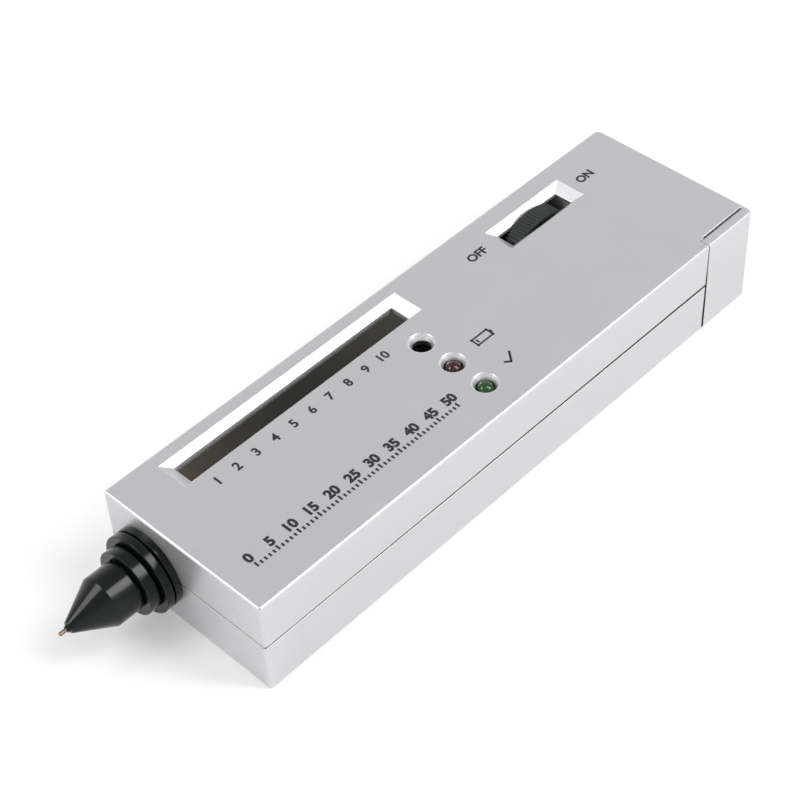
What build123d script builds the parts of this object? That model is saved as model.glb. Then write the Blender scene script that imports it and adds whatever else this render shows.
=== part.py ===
"""Handheld gem tester: a flat two-shell case with a sprung probe at its front end.

Millimetres, +Z up. +X runs from the probe end to the rear, +Y from the near side to the far
side. The origin is the centre of the case's underside.
"""
import os
from math import cos, radians, sin

from build123d import *

# Case. Its length, width and height follow from what it holds: they come out at 135, 40 and 22
split_height = 11.45
wall = 2.0
roof = 2.2
floor = 2.0
corner_round = 1.3
front_round = 0.6
top_round = 0.55
rear_round = 2.4
parting_gap = 0.2
parting_rise = 0.35
parting_rise_length = 75.0
lip_height = 1.2
lip_play = 0.1
overrun = 1.0
seat_gap = 0.3
slip = 0.08

# Window recess, its plate and the light bar behind it
recess_depth = 1.6
window_front_margin = 10.3
window_far_margin = 3.0
window_length = 60.55
window_width = 7.2
window_end_bevel = 2.45
window_side_bevel = 1.3
plate_thickness = 1.5
plate_lap = 1.2
plate_play = 0.1
plate_rim = 0.8
plate_rim_height = 2.3
bar_count = 12
bar_colour_count = 4
bar_light_length = 2.0
bar_light_width = 4.2
bar_wall = 0.6
bar_light_play = 0.1
bar_light_drop = 0.2
bar_gap = 0.2

# Wheel slot
slot_rear_margin = 17.95
slot_length = 22.05
slot_width = 7.15
slot_end_bevel = 2.3
slot_side_bevel = 1.5

# Countersunk holes: one for sound, two for the domed lights
indicator_setback = 6.75
indicator_drop = 6.2
indicator_near_inset = 4.1
sink_radius = 2.6
sink_depth = 1.3
dome_play = 0.12
dome_radius = 1.7
dome_below_top = 0.25
dome_height = 5.3
dome_rim = 0.3
dome_rim_height = 1.0
leg_side = 0.5
leg_spread = 2.54
spacer_wall = 0.6

# Circuit board and what it carries
board_front_gap = 0.15
board_rear_margin = 1.65
board_side_margin = 1.5
board_far_margin = 0.6
board_drop = 1.95
board_thickness = 1.6
post_radius = 2.6
post_inset = 3.0
post_front_inset = 4.5
board_screw_radius = 1.0
board_screw_head = 2.1
board_screw_head_height = 1.4
board_screw_depth = 5.0
thread_play = 0.05
buzzer_gap = 1.28
tall_part_gap = 1.7
buzzer_port = 1.0
buzzer_port_depth = 1.2
chip_width = 4.4
chip_height = 1.6
chip_lift = 0.15
chip_front_inset = 7.2
chip_side_inset = 4.2
chip_can_gap = 1.6
pin_spacing = 1.27
pin_width = 0.4
pin_reach = 0.9
pin_height = 0.8
driver_pins = 9
amplifier_pins = 7
resistor_count = 6
resistor_pitch = 2.5
resistor_radius = 1.1
resistor_length = 6.3
resistor_span = 9.0
resistor_lift = 0.2
resistor_setback = 12.6
resistor_lead_radius = 0.2
can_radius = 2.5
can_top_round = 0.4
can_spacing = 6.5
can_front_inset = 11.5
trimmer_side = 6.4
trimmer_width = 5.0
trimmer_height = 4.8
trimmer_screw = 3.0
trimmer_slot = 0.6

# Case screws
screw_radius = 1.15
screw_head_radius = 2.4
screw_head_height = 1.7
screw_head_sink = 3.0
screw_length = 12.3
screw_hole_play = 0.15
screw_tip_gap = 0.5
boss_wall = 0.6
screw_front_inset = 6.0
screw_side_inset = 5.5
screw_mid_gap = 3.5
boss_connector_gap = 1.15
cross_width = 0.6
cross_length = 2.8
cross_depth = 0.9

# Probe, from the front face forwards
probe_far_margin = 10.7
probe_below_middle = 0.5
flange_radius = 8.2
flange_thickness = 1.4
rear_neck_radius = 6.6
rear_neck_length = 0.5
rear_ring_length = 1.3
front_neck_radius = 5.6
front_neck_length = 0.6
front_ring_radius = 6.7
front_ring_length = 2.3
nose_neck_radius = 4.5
nose_neck_length = 0.4
ring_bevel = 0.35
nose_radius = 5.1
nose_cylinder = 5.0
nose_cone_length = 7.5
nose_end_radius = 1.15
nose_tip_radius = 0.68
nose_tip_length = 0.5
spigot_radius = 3.6
spigot_length = 5.0
tail_radius = 4.0
tail_length = 9.5
nut_width = 13.0
nut_thickness = 3.0
pin_radius = 0.4
pin_projection = 2.05
pin_seat_depth = 3.0
heater_radius = 1.6
heater_length = 6.9
heater_setback = 3.5
heater_stop_gap = 0.3
spring_length = 6.4
spring_radius = 1.15
spring_wire = 0.17
spring_turns = 6
spring_end_gap = 0.05
lead_bore = 0.9
probe_lead_radius = 0.35
probe_lead_depth = 4.0
probe_lead_rise = 1.5
probe_lead_pitch = 0.84
probe_lead_end_pitch = 2.1
probe_lead_end_gap = 2.2
probe_lead_straight = 0.7
probe_lead_inset = 1.4
probe_lead_bend = 0.52

# Wheel and its potentiometer
wheel_floor_gap = 0.6
wheel_below_top = 0.2
wheel_side_gap = 0.2
guard_gap = 0.3
guard_thickness = 1.0
notch_count = 56
notch_radius = 0.3
shaft_radius = 1.5
shaft_length = 5.8
wheel_screw_head = 2.8
wheel_screw_sink = 1.0
wheel_screw_head_height = 0.9
wheel_screw_radius = 0.8
wheel_screw_length = 3.5
potentiometer_depth = 3.43
potentiometer_roof_gap = 1.15
potentiometer_gap = 0.62
potentiometer_foot = 13.0
switch_pins = 5
switch_pin_pitch = 1.6
switch_pin_length = 2.3
switch_pin_width = 0.8
switch_pin_thickness = 0.5
switch_pin_lift = 1.2
cheek_thickness = 1.2
cheek_height = 5.0
switch_lead_radius = 0.5
switch_lead_gap = 1.5
switch_lead_pitch = 1.0
switch_lead_straight = 3.0
switch_lead_bend = 0.8

# Battery, its snap connector and its rib
battery_length = 46.4
battery_width = 26.5
battery_thickness = 17.5
battery_round = 1.5
battery_side_gap = 0.4
terminal_height = 2.9
terminal_spacing = 12.7
plus_radius = 2.9
minus_radius = 3.6
connector_thickness = 5.2
connector_side_inset = 0.25
connector_height = 12.6
pocket_wall = 1.8
contact_wall = 0.5
contact_length = 2.8
contact_play = 0.05
rib_thickness = 0.8
rib_height = 9.0
rib_wheel_gap = 0.2
battery_lead_radius = 0.6
battery_lead_pitch = 5.0
battery_lead_rise = 1.9
battery_lead_bend = 1.2

# Battery door
door_length = 14.2
door_wall = 2.05
door_gap = 0.2
door_top_gap = 0.08
door_foot_gap = 0.5
slit_width = 0.55
slit_front_inset = 1.15
slit_rear_inset = 0.95
lap_length = 3.0
lap_thickness = 0.8
lap_outer_wall = 0.9
lap_end_inset = 2.0
pad_thickness = 0.8
pad_width = 12.0
pad_height = 9.0
arm_boss_gap = 1.05
arm_thickness = 1.2
arm_height = 5.0
arm_side_gap = 0.6
arm_lift = 6.0

# Size of the case, round what it holds
boss_radius = screw_head_radius + screw_hole_play + boss_wall
board_end = window_front_margin + window_length + board_rear_margin
boss_room = screw_mid_gap + boss_radius + boss_connector_gap
battery_room = connector_thickness + battery_length + seat_gap + pad_thickness
case_length = board_end + boss_room + battery_room + wall
wheel_width = slot_width - 2 * (slot_side_bevel + wheel_side_gap)
bay_width = battery_side_gap + battery_width + seat_gap + rib_thickness + rib_wheel_gap
case_width = 2 * wall + bay_width + wheel_width + potentiometer_gap + potentiometer_depth
case_height = floor + battery_thickness + seat_gap + roof

# Places that follow from the sizes above
front_x = -case_length / 2
rear_x = case_length / 2
near_y = -case_width / 2
far_y = case_width / 2
roof_under = case_height - roof
inner_near_y = near_y + wall
inner_far_y = far_y - wall
ledge_z = case_height - recess_depth

window_x0 = front_x + window_front_margin
window_x1 = window_x0 + window_length
window_y1 = far_y - window_far_margin
window_y0 = window_y1 - window_width
opening_x0 = window_x0 + window_end_bevel
opening_x1 = window_x1 - window_end_bevel
opening_y0 = window_y0 + window_side_bevel
opening_y1 = window_y1 - window_side_bevel
plate_x0 = opening_x0 - plate_lap
plate_x1 = opening_x1 + plate_lap
plate_y0 = opening_y0 - plate_lap
plate_y1 = opening_y1 + plate_lap
plate_under = roof_under - plate_thickness

potentiometer_y0 = inner_far_y - potentiometer_depth
wheel_y1 = potentiometer_y0 - potentiometer_gap
wheel_y0 = wheel_y1 - wheel_width
slot_x1 = rear_x - slot_rear_margin
slot_x0 = slot_x1 - slot_length
slot_y1 = wheel_y1 + wheel_side_gap + slot_side_bevel
slot_y0 = slot_y1 - slot_width

board_x0 = opening_x0 - bar_wall - board_front_gap
board_x1 = front_x + board_end
board_y0 = inner_near_y + board_side_margin
board_y1 = inner_far_y - board_far_margin
board_height = split_height - board_drop
board_top = board_height + board_thickness

indicator_x = window_x1 - indicator_setback
sound_y = window_y0 - indicator_drop
ready_y = board_y0 + indicator_near_inset
low_battery_y = (sound_y + ready_y) / 2
indicator_pitch = sound_y - low_battery_y
dome_top = case_height - dome_below_top
dome_base = dome_top - dome_height
light_hole_radius = dome_radius + dome_play
spacer_bore = (leg_spread + leg_side) / 2
spacer_radius = spacer_bore + spacer_wall

post_front_x = board_x0 + post_front_inset
post_rear_x = board_x1 - post_inset
post_near_y = board_y0 + post_inset
post_far_y = board_y1 - post_inset
post_mid_y = opening_y0 - post_inset - post_radius
screwed_posts = [(post_front_x, post_near_y), (post_rear_x, post_near_y), (post_front_x, post_mid_y)]
plain_posts = [(post_front_x, post_far_y), (post_rear_x, post_far_y)]
bar_top = plate_under - bar_gap
bar_y = (opening_y0 + opening_y1) / 2
holder_half_width = bar_light_width / 2 + bar_light_play + bar_wall
holder_y0 = bar_y - holder_half_width
can_row_y = plate_y0 - plate_play - plate_rim - seat_gap
tall_part_top = roof_under - tall_part_gap
chip_x = board_x0 + chip_front_inset
amplifier_y = board_y0 + chip_side_inset
driver_y = can_row_y - 2 * can_radius - chip_can_gap - chip_width / 2 - pin_reach
buzzer_radius = min(holder_y0 - sound_y, indicator_pitch - spacer_radius) - buzzer_gap

boss_seat_z = screw_head_sink + screw_head_height
mid_boss_x = board_x1 + screw_mid_gap
rear_boss_x = slot_x1 + boss_radius + boss_wall
screw_near_y = near_y + screw_side_inset
screw_far_y = far_y - screw_side_inset
screw_places = [
    (front_x + screw_front_inset, screw_near_y),
    (mid_boss_x, screw_near_y),
    (mid_boss_x, screw_far_y),
    (rear_boss_x, screw_far_y),
]

probe_side = far_y - probe_far_margin
probe_height = case_height / 2 - probe_below_middle
rear_neck_x = front_x - flange_thickness
rear_ring_x = rear_neck_x - rear_neck_length
front_neck_x = rear_ring_x - rear_ring_length
front_ring_x = front_neck_x - front_neck_length
nose_neck_x = front_ring_x - front_ring_length
nose_x = nose_neck_x - nose_neck_length
cone_x = nose_x - nose_cylinder
nose_end_x = cone_x - nose_cone_length
nose_tip_x = nose_end_x - nose_tip_length
spigot_x = nose_x - spigot_length
heater_bore = heater_radius + slip
heater_x0 = cone_x - heater_setback
heater_x1 = heater_x0 + heater_length
spring_x0 = heater_x1 + spring_end_gap
spring_seat_x = spring_x0 + spring_length + spring_end_gap
tail_end_x = front_x + tail_length
pin_end_x = nose_end_x - pin_projection

wheel_radius = (case_height - wheel_below_top - floor - wheel_floor_gap) / 2
wheel_x = (slot_x0 + slot_x1) / 2
wheel_z = case_height - wheel_below_top - wheel_radius
wheel_seat_y = wheel_y0 + wheel_screw_sink
shaft_end_y = wheel_seat_y + shaft_length
potentiometer_radius = roof_under - potentiometer_roof_gap - wheel_z
potentiometer_mid_y = (potentiometer_y0 + inner_far_y) / 2
foot_x0 = wheel_x - potentiometer_foot / 2
foot_x1 = wheel_x + potentiometer_foot / 2

door_x = rear_x - door_length
door_inner_y = near_y + door_wall
shell_edge_y = door_inner_y + door_top_gap
door_rear_x = rear_x - wall
lap_x = door_x - lap_length
lap_y0 = near_y + lap_outer_wall + door_gap
lap_y1 = lap_y0 + lap_thickness
arm_x0 = rear_boss_x + boss_radius + arm_boss_gap

battery_x1 = door_rear_x - pad_thickness - seat_gap
battery_x0 = battery_x1 - battery_length
battery_y0 = inner_near_y + battery_side_gap
battery_y1 = battery_y0 + battery_width
battery_y = (battery_y0 + battery_y1) / 2
battery_z = floor + battery_thickness / 2
connector_x0 = battery_x0 - connector_thickness
rib_y0 = battery_y1 + seat_gap
rib_y1 = rib_y0 + rib_thickness


def block(x0, x1, y0, y1, z0, z1):
    """Box between two corners."""
    centre = Pos((x0 + x1) / 2, (y0 + y1) / 2, (z0 + z1) / 2)
    return centre * Box(x1 - x0, y1 - y0, z1 - z0)


def column(x, y, size_x, size_y, z0, z1):
    """Upright box about a place in plan."""
    return Pos(x, y, (z0 + z1) / 2) * Box(size_x, size_y, z1 - z0)


def rod_x(x0, x1, y, z, radius):
    """Round bar along X."""
    return Pos((x0 + x1) / 2, y, z) * Rot(0, 90, 0) * Cylinder(radius, x1 - x0)


def rod_y(x, y0, y1, z, radius):
    """Round bar along Y."""
    return Pos(x, (y0 + y1) / 2, z) * Rot(90, 0, 0) * Cylinder(radius, y1 - y0)


def rod_z(x, y, z0, z1, radius):
    """Round bar along Z."""
    return Pos(x, y, (z0 + z1) / 2) * Cylinder(radius, z1 - z0)


def turned(outline):
    """Solid of revolution about the probe's axis, from (x, radius) points."""
    face = make_face(Polyline(*outline, close=True))
    return Pos(0, probe_side, probe_height) * revolve(face, Axis.X)


def bevelled_opening(x0, x1, y0, y1, end_bevel, side_bevel):
    """Cutter for a recess whose four walls slope in to a through opening."""
    mouth = Rectangle(x1 - x0, y1 - y0)
    throat = Rectangle(x1 - x0 - 2 * end_bevel, y1 - y0 - 2 * side_bevel)
    centre_x = (x0 + x1) / 2
    centre_y = (y0 + y1) / 2
    slopes = loft([Pos(centre_x, centre_y, ledge_z) * throat, Pos(centre_x, centre_y, case_height) * mouth])
    through = block(
        x0 + end_bevel, x1 - end_bevel, y0 + side_bevel, y1 - side_bevel, roof_under - overrun, ledge_z
    )
    return slopes + through


def countersunk_hole(y):
    """Cutter for one hole of the row of three."""
    sink_z = case_height - sink_depth
    cone = Pos(indicator_x, y, sink_z + sink_depth / 2) * Cone(light_hole_radius, sink_radius, sink_depth)
    return cone + rod_z(indicator_x, y, roof_under - overrun, sink_z, light_hole_radius)


def wire(points, radius, bend):
    """Round wire along straight runs joined by tangent arcs."""
    path = FilletPolyline(*points, radius=bend)
    start = Plane(origin=path @ 0, z_dir=path % 0)
    return sweep(start * Circle(radius), path)


def case_form():
    """Outside of the closed case, as one solid."""
    form = block(front_x, rear_x, near_y, far_y, 0, case_height)
    form = fillet(form.edges().filter_by(Axis.Z).sort_by(Axis.X)[-2:], corner_round)
    uprights = form.edges().filter_by(Axis.Z).sort_by(Axis.X)[:2]
    form = fillet(uprights + form.faces().sort_by(Axis.Z)[0].edges(), front_round)
    form = fillet(form.faces().sort_by(Axis.Z)[-1].edges(), top_round)
    heel = block(front_x, rear_x, near_y, far_y, 0, case_height)
    heel_edge = heel.edges().filter_by(Axis.Y).sort_by(Axis.X)[-2:].sort_by(Axis.Z)[0]
    return form & fillet(heel_edge, rear_round)


def cavity():
    """Inside of the case, open at the rear where the door closes it."""
    return block(front_x + wall, rear_x + overrun, inner_near_y, inner_far_y, floor, roof_under)


def probe_hole():
    """Cutter for the collar's hole in the front wall, half in each shell."""
    radius = tail_radius + lip_play
    return rod_x(front_x - overrun, front_x + wall + overrun, probe_side, probe_height, radius)


def slab(corners, y0, y1):
    """Solid between two places across the case, from (x, z) corners."""
    face = make_face(Polyline(*[(x, y0, z) for x, z in corners], close=True))
    return extrude(face, y1 - y0, dir=(0, 1, 0))


def parting_wedge():
    """Cutter that opens the parting line on the near side, more and more towards the door."""
    base = split_height
    start_x = door_x - parting_rise_length
    corners = [(start_x, base), (door_x, base), (door_x, base + parting_gap / 2 + parting_rise)]
    corners.append((start_x, base + parting_gap / 2))
    return slab(corners, near_y - overrun, near_y + wall / 2)


def door_room():
    """Space of the door's side wall, its lap joint and the slit along its top edge."""
    end_x = rear_x + overrun
    corners = [(door_x - door_foot_gap, -overrun), (end_x, -overrun), (end_x, case_height + overrun)]
    corners.append((door_x - door_top_gap, case_height + overrun))
    side = slab(corners, near_y - overrun, shell_edge_y)
    slit = block(
        door_x + slit_front_inset, rear_x - slit_rear_inset,
        near_y, door_inner_y + slit_width, roof_under - overrun, case_height + overrun
    )
    lap = block(
        lap_x - door_gap, door_x, near_y + lap_outer_wall, inner_near_y + overrun,
        floor, roof_under
    )
    return side + slit + lap


def lip_ring(top):
    """Ring that centres one shell in the other, along the inner half of the wall."""
    inset = wall / 2
    ring = block(front_x + inset, rear_x - inset, near_y + inset, far_y - inset, split_height - overrun, top)
    return ring - block(front_x + wall, rear_x, inner_near_y, inner_far_y, 0, case_height)


def top_shell(form):
    """Upper case half with its openings, screw bosses and the rim that holds the window plate."""
    shell = form & block(front_x, rear_x, near_y, far_y, split_height + parting_gap / 2, case_height)
    shell -= cavity()
    rim = block(
        plate_x0 - plate_play - plate_rim, plate_x1 + plate_play + plate_rim,
        plate_y0 - plate_play - plate_rim, inner_far_y, roof_under - plate_rim_height, roof_under
    )
    rim -= block(
        plate_x0 - plate_play, plate_x1 + plate_play, plate_y0 - plate_play, plate_y1 + plate_play,
        roof_under - plate_rim_height, roof_under
    )
    shell += rim
    for x, y in screw_places:
        shell += rod_z(x, y, split_height, roof_under, boss_radius)
        tip_z = boss_seat_z + screw_length + screw_tip_gap
        shell -= rod_z(x, y, split_height - overrun, tip_z, screw_radius + thread_play)
    shell -= bevelled_opening(window_x0, window_x1, window_y0, window_y1, window_end_bevel, window_side_bevel)
    shell -= bevelled_opening(slot_x0, slot_x1, slot_y0, slot_y1, slot_end_bevel, slot_side_bevel)
    for y in (sound_y, low_battery_y, ready_y):
        shell -= countersunk_hole(y)
    shell -= probe_hole()
    shell -= lip_ring(split_height + lip_height)
    shell -= parting_wedge()
    guard_x = wheel_x + wheel_radius + guard_gap
    shell += block(guard_x, guard_x + guard_thickness, rib_y1, inner_far_y, wheel_z, roof_under)
    return shell - door_room()


def bottom_shell(form):
    """Lower case half with the board posts, screw bosses, battery rib and potentiometer cheek."""
    shell = form & block(front_x, rear_x, near_y, far_y, 0, split_height - parting_gap / 2)
    shell -= cavity()
    lip = lip_ring(split_height + lip_height)
    lip &= block(
        front_x + wall / 2 + lip_play, rear_x - wall / 2 - lip_play, near_y + wall / 2 + lip_play,
        far_y - wall / 2 - lip_play, split_height - overrun, case_height
    )
    shell += lip
    for x, y in screwed_posts + plain_posts:
        shell += rod_z(x, y, floor - overrun, board_height, post_radius)
    for x, y in screwed_posts:
        pilot_z = board_top - board_screw_depth - screw_tip_gap
        shell -= rod_z(x, y, pilot_z, board_height, board_screw_radius + thread_play)
    shell += block(battery_x0, battery_x1, rib_y0, rib_y1, floor - overrun, floor + rib_height)
    shell += block(
        foot_x1 + lip_play, foot_x1 + lip_play + cheek_thickness, potentiometer_y0, inner_far_y,
        floor - overrun, floor + cheek_height
    )
    rail_z = floor + arm_lift - seat_gap
    rail_y0 = inner_far_y - arm_side_gap - arm_thickness
    shell += block(arm_x0, door_rear_x - seat_gap, rail_y0, inner_far_y, floor - overrun, rail_z)
    for x, y in screw_places:
        shell += rod_z(x, y, floor - overrun, split_height, boss_radius)
        shell -= rod_z(x, y, -overrun, boss_seat_z, screw_head_radius + screw_hole_play)
        shell -= rod_z(x, y, boss_seat_z, split_height, screw_radius + screw_hole_play)
    shell -= probe_hole()
    return shell - door_room()


def battery_door(form):
    """Corner cover: near side wall, rear wall, lap tongue and guide arm, sliding off rearwards."""
    side = block(door_x, rear_x, near_y, door_inner_y, 0, case_height)
    rear = block(
        door_rear_x, rear_x, near_y, inner_far_y - seat_gap, floor + door_gap, roof_under - door_gap
    )
    door = form & (side + rear)
    tongue = block(
        lap_x, door_x + wall, lap_y0, lap_y1, floor + lap_end_inset, roof_under - lap_end_inset
    )
    arm_y1 = inner_far_y - arm_side_gap
    arm_z = floor + arm_lift
    arm = block(arm_x0, door_rear_x, arm_y1 - arm_thickness, arm_y1, arm_z, arm_z + arm_height)
    return door + tongue + arm


def battery_pad():
    """Foam on the inside of the door that keeps the battery still."""
    return block(
        door_rear_x - pad_thickness, door_rear_x, battery_y - pad_width / 2, battery_y + pad_width / 2,
        battery_z - pad_height / 2, battery_z + pad_height / 2
    )


def display_window():
    """Smoked plate under the long opening."""
    return block(plate_x0, plate_x1, plate_y0, plate_y1, plate_under, roof_under)


def bar_light_x(index):
    """Centre of one bar light along the opening."""
    pitch = (opening_x1 - opening_x0) / bar_count
    return opening_x0 + (index + 0.5) * pitch


def bar_holder():
    """Frame on the board with a pocket for each bar light."""
    holder = block(
        opening_x0 - bar_wall, opening_x1 + bar_wall, holder_y0, bar_y + holder_half_width, board_top, bar_top
    )
    pocket_length = bar_light_length + 2 * bar_light_play
    pocket_width = bar_light_width + 2 * bar_light_play
    for index in range(bar_count):
        holder -= column(bar_light_x(index), bar_y, pocket_length, pocket_width, board_top, bar_top)
    return holder


def bar_leds(first):
    """Bar lights of one colour, as separate solids."""
    lights = []
    for index in range(first, first + bar_colour_count):
        x = bar_light_x(index)
        top = bar_top - bar_light_drop
        lights.append(column(x, bar_y, bar_light_length, bar_light_width, board_top, top))
    return Compound(children=lights)


def domed_led(y):
    """Round light: dome, rim and two legs down to the board."""
    dome_centre = dome_top - dome_radius
    light = rod_z(indicator_x, y, dome_base, dome_centre, dome_radius)
    light += Pos(indicator_x, y, dome_centre) * Sphere(dome_radius)
    light += rod_z(indicator_x, y, dome_base, dome_base + dome_rim_height, dome_radius + dome_rim)
    for side in (-1, 1):
        x = indicator_x + side * (leg_spread - leg_side) / 2
        light += column(x, y, leg_side, leg_side, board_top, dome_base + leg_side)
    return light


def led_spacers():
    """Tubes that hold the domed lights up at the roof."""
    tubes = []
    for y in (low_battery_y, ready_y):
        tube = rod_z(indicator_x, y, board_top, dome_base, spacer_radius)
        tubes.append(tube - rod_z(indicator_x, y, board_top, dome_base, spacer_bore))
    return Compound(children=tubes)


def buzzer():
    """Sounder under the open hole, with its port."""
    can = rod_z(indicator_x, sound_y, board_top, tall_part_top, buzzer_radius)
    return can - rod_z(indicator_x, sound_y, tall_part_top - buzzer_port_depth, tall_part_top, buzzer_port)


def main_board():
    """Circuit board with its screw holes."""
    board = block(board_x0, board_x1, board_y0, board_y1, board_height, board_top)
    for x, y in screwed_posts:
        board -= rod_z(x, y, board_height, board_top, board_screw_radius + screw_hole_play)
    return board


def board_screws():
    """Screws that hold the board on its posts."""
    screws = []
    for x, y in screwed_posts:
        screw = rod_z(x, y, board_top, board_top + board_screw_head_height, board_screw_head)
        screw += rod_z(x, y, board_top - board_screw_depth, board_top, board_screw_radius)
        screws.append(screw - cross_recess(x, y, board_top + board_screw_head_height, -1))
    return Compound(children=screws)


def cross_recess(x, y, z, side):
    """Cutter for a cross drive in a screw head; side is the way it goes in, up or down."""
    z0, z1 = sorted((z, z + side * cross_depth))
    return column(x, y, cross_length, cross_width, z0, z1) + column(x, y, cross_width, cross_length, z0, z1)


def case_screws():
    """Screws that go up from the underside into the top shell."""
    screws = []
    for x, y in screw_places:
        screw = rod_z(x, y, screw_head_sink, boss_seat_z, screw_head_radius)
        screw += rod_z(x, y, boss_seat_z, boss_seat_z + screw_length, screw_radius)
        screws.append(screw - cross_recess(x, y, screw_head_sink, 1))
    return Compound(children=screws)


def chip_body(y, pins):
    """Body of a chip with two rows of pins, standing a little off the board."""
    z0 = board_top + chip_lift
    length = pins * pin_spacing
    return column(chip_x + length / 2, y, length, chip_width, z0, z0 + chip_height)


def chip_pins():
    """Pins of both chips, as separate solids that meet the chips' sides."""
    pins = []
    for y, count in ((amplifier_y, amplifier_pins), (driver_y, driver_pins)):
        for index in range(count):
            x = chip_x + (index + 0.5) * pin_spacing
            for side in (-1, 1):
                pin_y = y + side * (chip_width + pin_reach) / 2
                pins.append(column(x, pin_y, pin_width, pin_reach, board_top, board_top + pin_height))
    return Compound(children=pins)


def resistors():
    """Column of axial resistors with legs bent down to the board."""
    pieces = []
    middle_x = indicator_x - resistor_setback
    z = board_top + resistor_radius + resistor_lift
    for index in range(resistor_count):
        y = board_y0 + post_inset + index * resistor_pitch
        piece = rod_x(middle_x - resistor_length / 2, middle_x + resistor_length / 2, y, z, resistor_radius)
        piece += rod_x(middle_x - resistor_span / 2, middle_x + resistor_span / 2, y, z, resistor_lead_radius)
        for side in (-1, 1):
            x = middle_x + side * resistor_span / 2
            piece += column(x, y, leg_side, leg_side, board_top, z + leg_side / 2)
        pieces.append(piece)
    return Compound(children=pieces)


def capacitors():
    """Three upright cans beside the light bar."""
    y = can_row_y - can_radius
    cans = []
    for step in (0, 1, 3):
        x = board_x0 + can_front_inset + step * can_spacing
        can = rod_z(x, y, board_top, tall_part_top, can_radius)
        cans.append(fillet(can.faces().sort_by(Axis.Z)[-1].edges(), can_top_round))
    return Compound(children=cans)


def trimmer():
    """Square trimmer with a slotted screw, in the can row's free place."""
    x = board_x0 + can_front_inset + 2 * can_spacing
    y = can_row_y - trimmer_side / 2
    top = board_top + trimmer_height
    body = column(x, y, trimmer_width, trimmer_side, board_top, top)
    return body - column(x, y, trimmer_screw, trimmer_slot, top - trimmer_slot, top)


def ring_outline(x0, x1, radius):
    """Outline points of one ring of the collar, its two corners bevelled."""
    edge = radius - ring_bevel
    return [(x0, edge), (x0 - ring_bevel, radius), (x1 + ring_bevel, radius), (x1, edge)]


def probe_collar():
    """Flange, two rings and necks outside the case, a spigot for the nose and a tail through the wall."""
    outline = [(tail_end_x, lead_bore), (tail_end_x, tail_radius), (front_x, tail_radius)]
    outline += [(front_x, flange_radius), (rear_neck_x + ring_bevel, flange_radius)]
    outline += [(rear_neck_x, flange_radius - ring_bevel)]
    outline += [(rear_neck_x, rear_neck_radius), (rear_ring_x, rear_neck_radius)]
    outline += ring_outline(rear_ring_x, front_neck_x, flange_radius)
    outline += [(front_neck_x, front_neck_radius), (front_ring_x, front_neck_radius)]
    outline += ring_outline(front_ring_x, nose_neck_x, front_ring_radius)
    outline += [(nose_neck_x, nose_neck_radius), (nose_x, nose_neck_radius)]
    outline += [(nose_x, spigot_radius), (spigot_x, spigot_radius), (spigot_x, heater_bore)]
    outline += [(spring_seat_x, heater_bore), (spring_seat_x, lead_bore)]
    return turned(outline)


def nose_cone():
    """Turned nose that caps the spigot and guides the pin."""
    bore_x = spigot_x - lip_play
    stop_x = heater_x0 - heater_stop_gap
    outline = [(nose_x, spigot_radius + thread_play), (nose_x, nose_radius), (cone_x, nose_radius)]
    outline += [(nose_end_x, nose_end_radius), (nose_end_x, nose_tip_radius), (nose_tip_x, nose_tip_radius)]
    outline += [(nose_tip_x, pin_radius + slip), (stop_x, pin_radius + slip)]
    outline += [(stop_x, heater_bore), (bore_x, heater_bore), (bore_x, spigot_radius + thread_play)]
    return turned(outline)


def probe_tip():
    """Copper pin, seated in the heater."""
    return rod_x(pin_end_x, heater_x0 + pin_seat_depth, probe_side, probe_height, pin_radius)


def probe_heater():
    """Sliding sleeve that warms and carries the pin."""
    sleeve = rod_x(heater_x0, heater_x1, probe_side, probe_height, heater_radius)
    return sleeve - rod_x(heater_x0, heater_x0 + pin_seat_depth, probe_side, probe_height, pin_radius)


def probe_spring():
    """Coil spring between the heater and the collar's inner step."""
    height = spring_length - 2 * spring_wire
    path = Helix(height / spring_turns, height, spring_radius)
    coil = sweep(Plane(origin=path @ 0, z_dir=path % 0) * Circle(spring_wire), path, is_frenet=True)
    return Pos(spring_x0 + spring_wire, probe_side, probe_height) * Rot(0, 90, 0) * coil


def probe_nut():
    """Hexagon nut that pulls the collar against the front wall."""
    outline = RegularPolygon(nut_width / 2, 6, major_radius=False, rotation=30)
    nut = Rot(0, 90, 0) * extrude(outline, nut_thickness)
    nut_x = front_x + wall
    nut = Pos(nut_x, probe_side, probe_height) * nut
    return nut - rod_x(nut_x, nut_x + nut_thickness, probe_side, probe_height, tail_radius + thread_play)


def probe_leads():
    """Two wires from the collar's bore to the board."""
    wires = []
    top = board_top + probe_lead_rise
    end_x = board_x0 + probe_lead_inset
    for side in (-1, 1):
        y = probe_side + side * probe_lead_pitch / 2
        end_y = holder_y0 - probe_lead_end_gap + side * probe_lead_end_pitch / 2
        points = [
            (tail_end_x - probe_lead_depth, y, probe_height),
            (tail_end_x + probe_lead_straight, y, probe_height),
            (board_x0 - probe_lead_straight, end_y, top),
            (end_x, end_y, top),
            (end_x, end_y, board_top),
        ]
        wires.append(wire(points, probe_lead_radius, probe_lead_bend))
    return Compound(children=wires)


def thumbwheel():
    """Notched wheel whose rim shows in the slot."""
    wheel = rod_y(wheel_x, wheel_y0, wheel_y1, wheel_z, wheel_radius)
    notches = []
    for index in range(notch_count):
        angle = radians(360 * index / notch_count)
        x = wheel_x + wheel_radius * cos(angle)
        z = wheel_z + wheel_radius * sin(angle)
        notches.append(rod_y(x, wheel_y0 - notch_radius, wheel_y1 + notch_radius, z, notch_radius))
    wheel -= notches
    wheel -= rod_y(wheel_x, wheel_y0, wheel_seat_y, wheel_z, wheel_screw_head + lip_play)
    return wheel - rod_y(wheel_x, wheel_seat_y, wheel_y1, wheel_z, shaft_radius)


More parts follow.
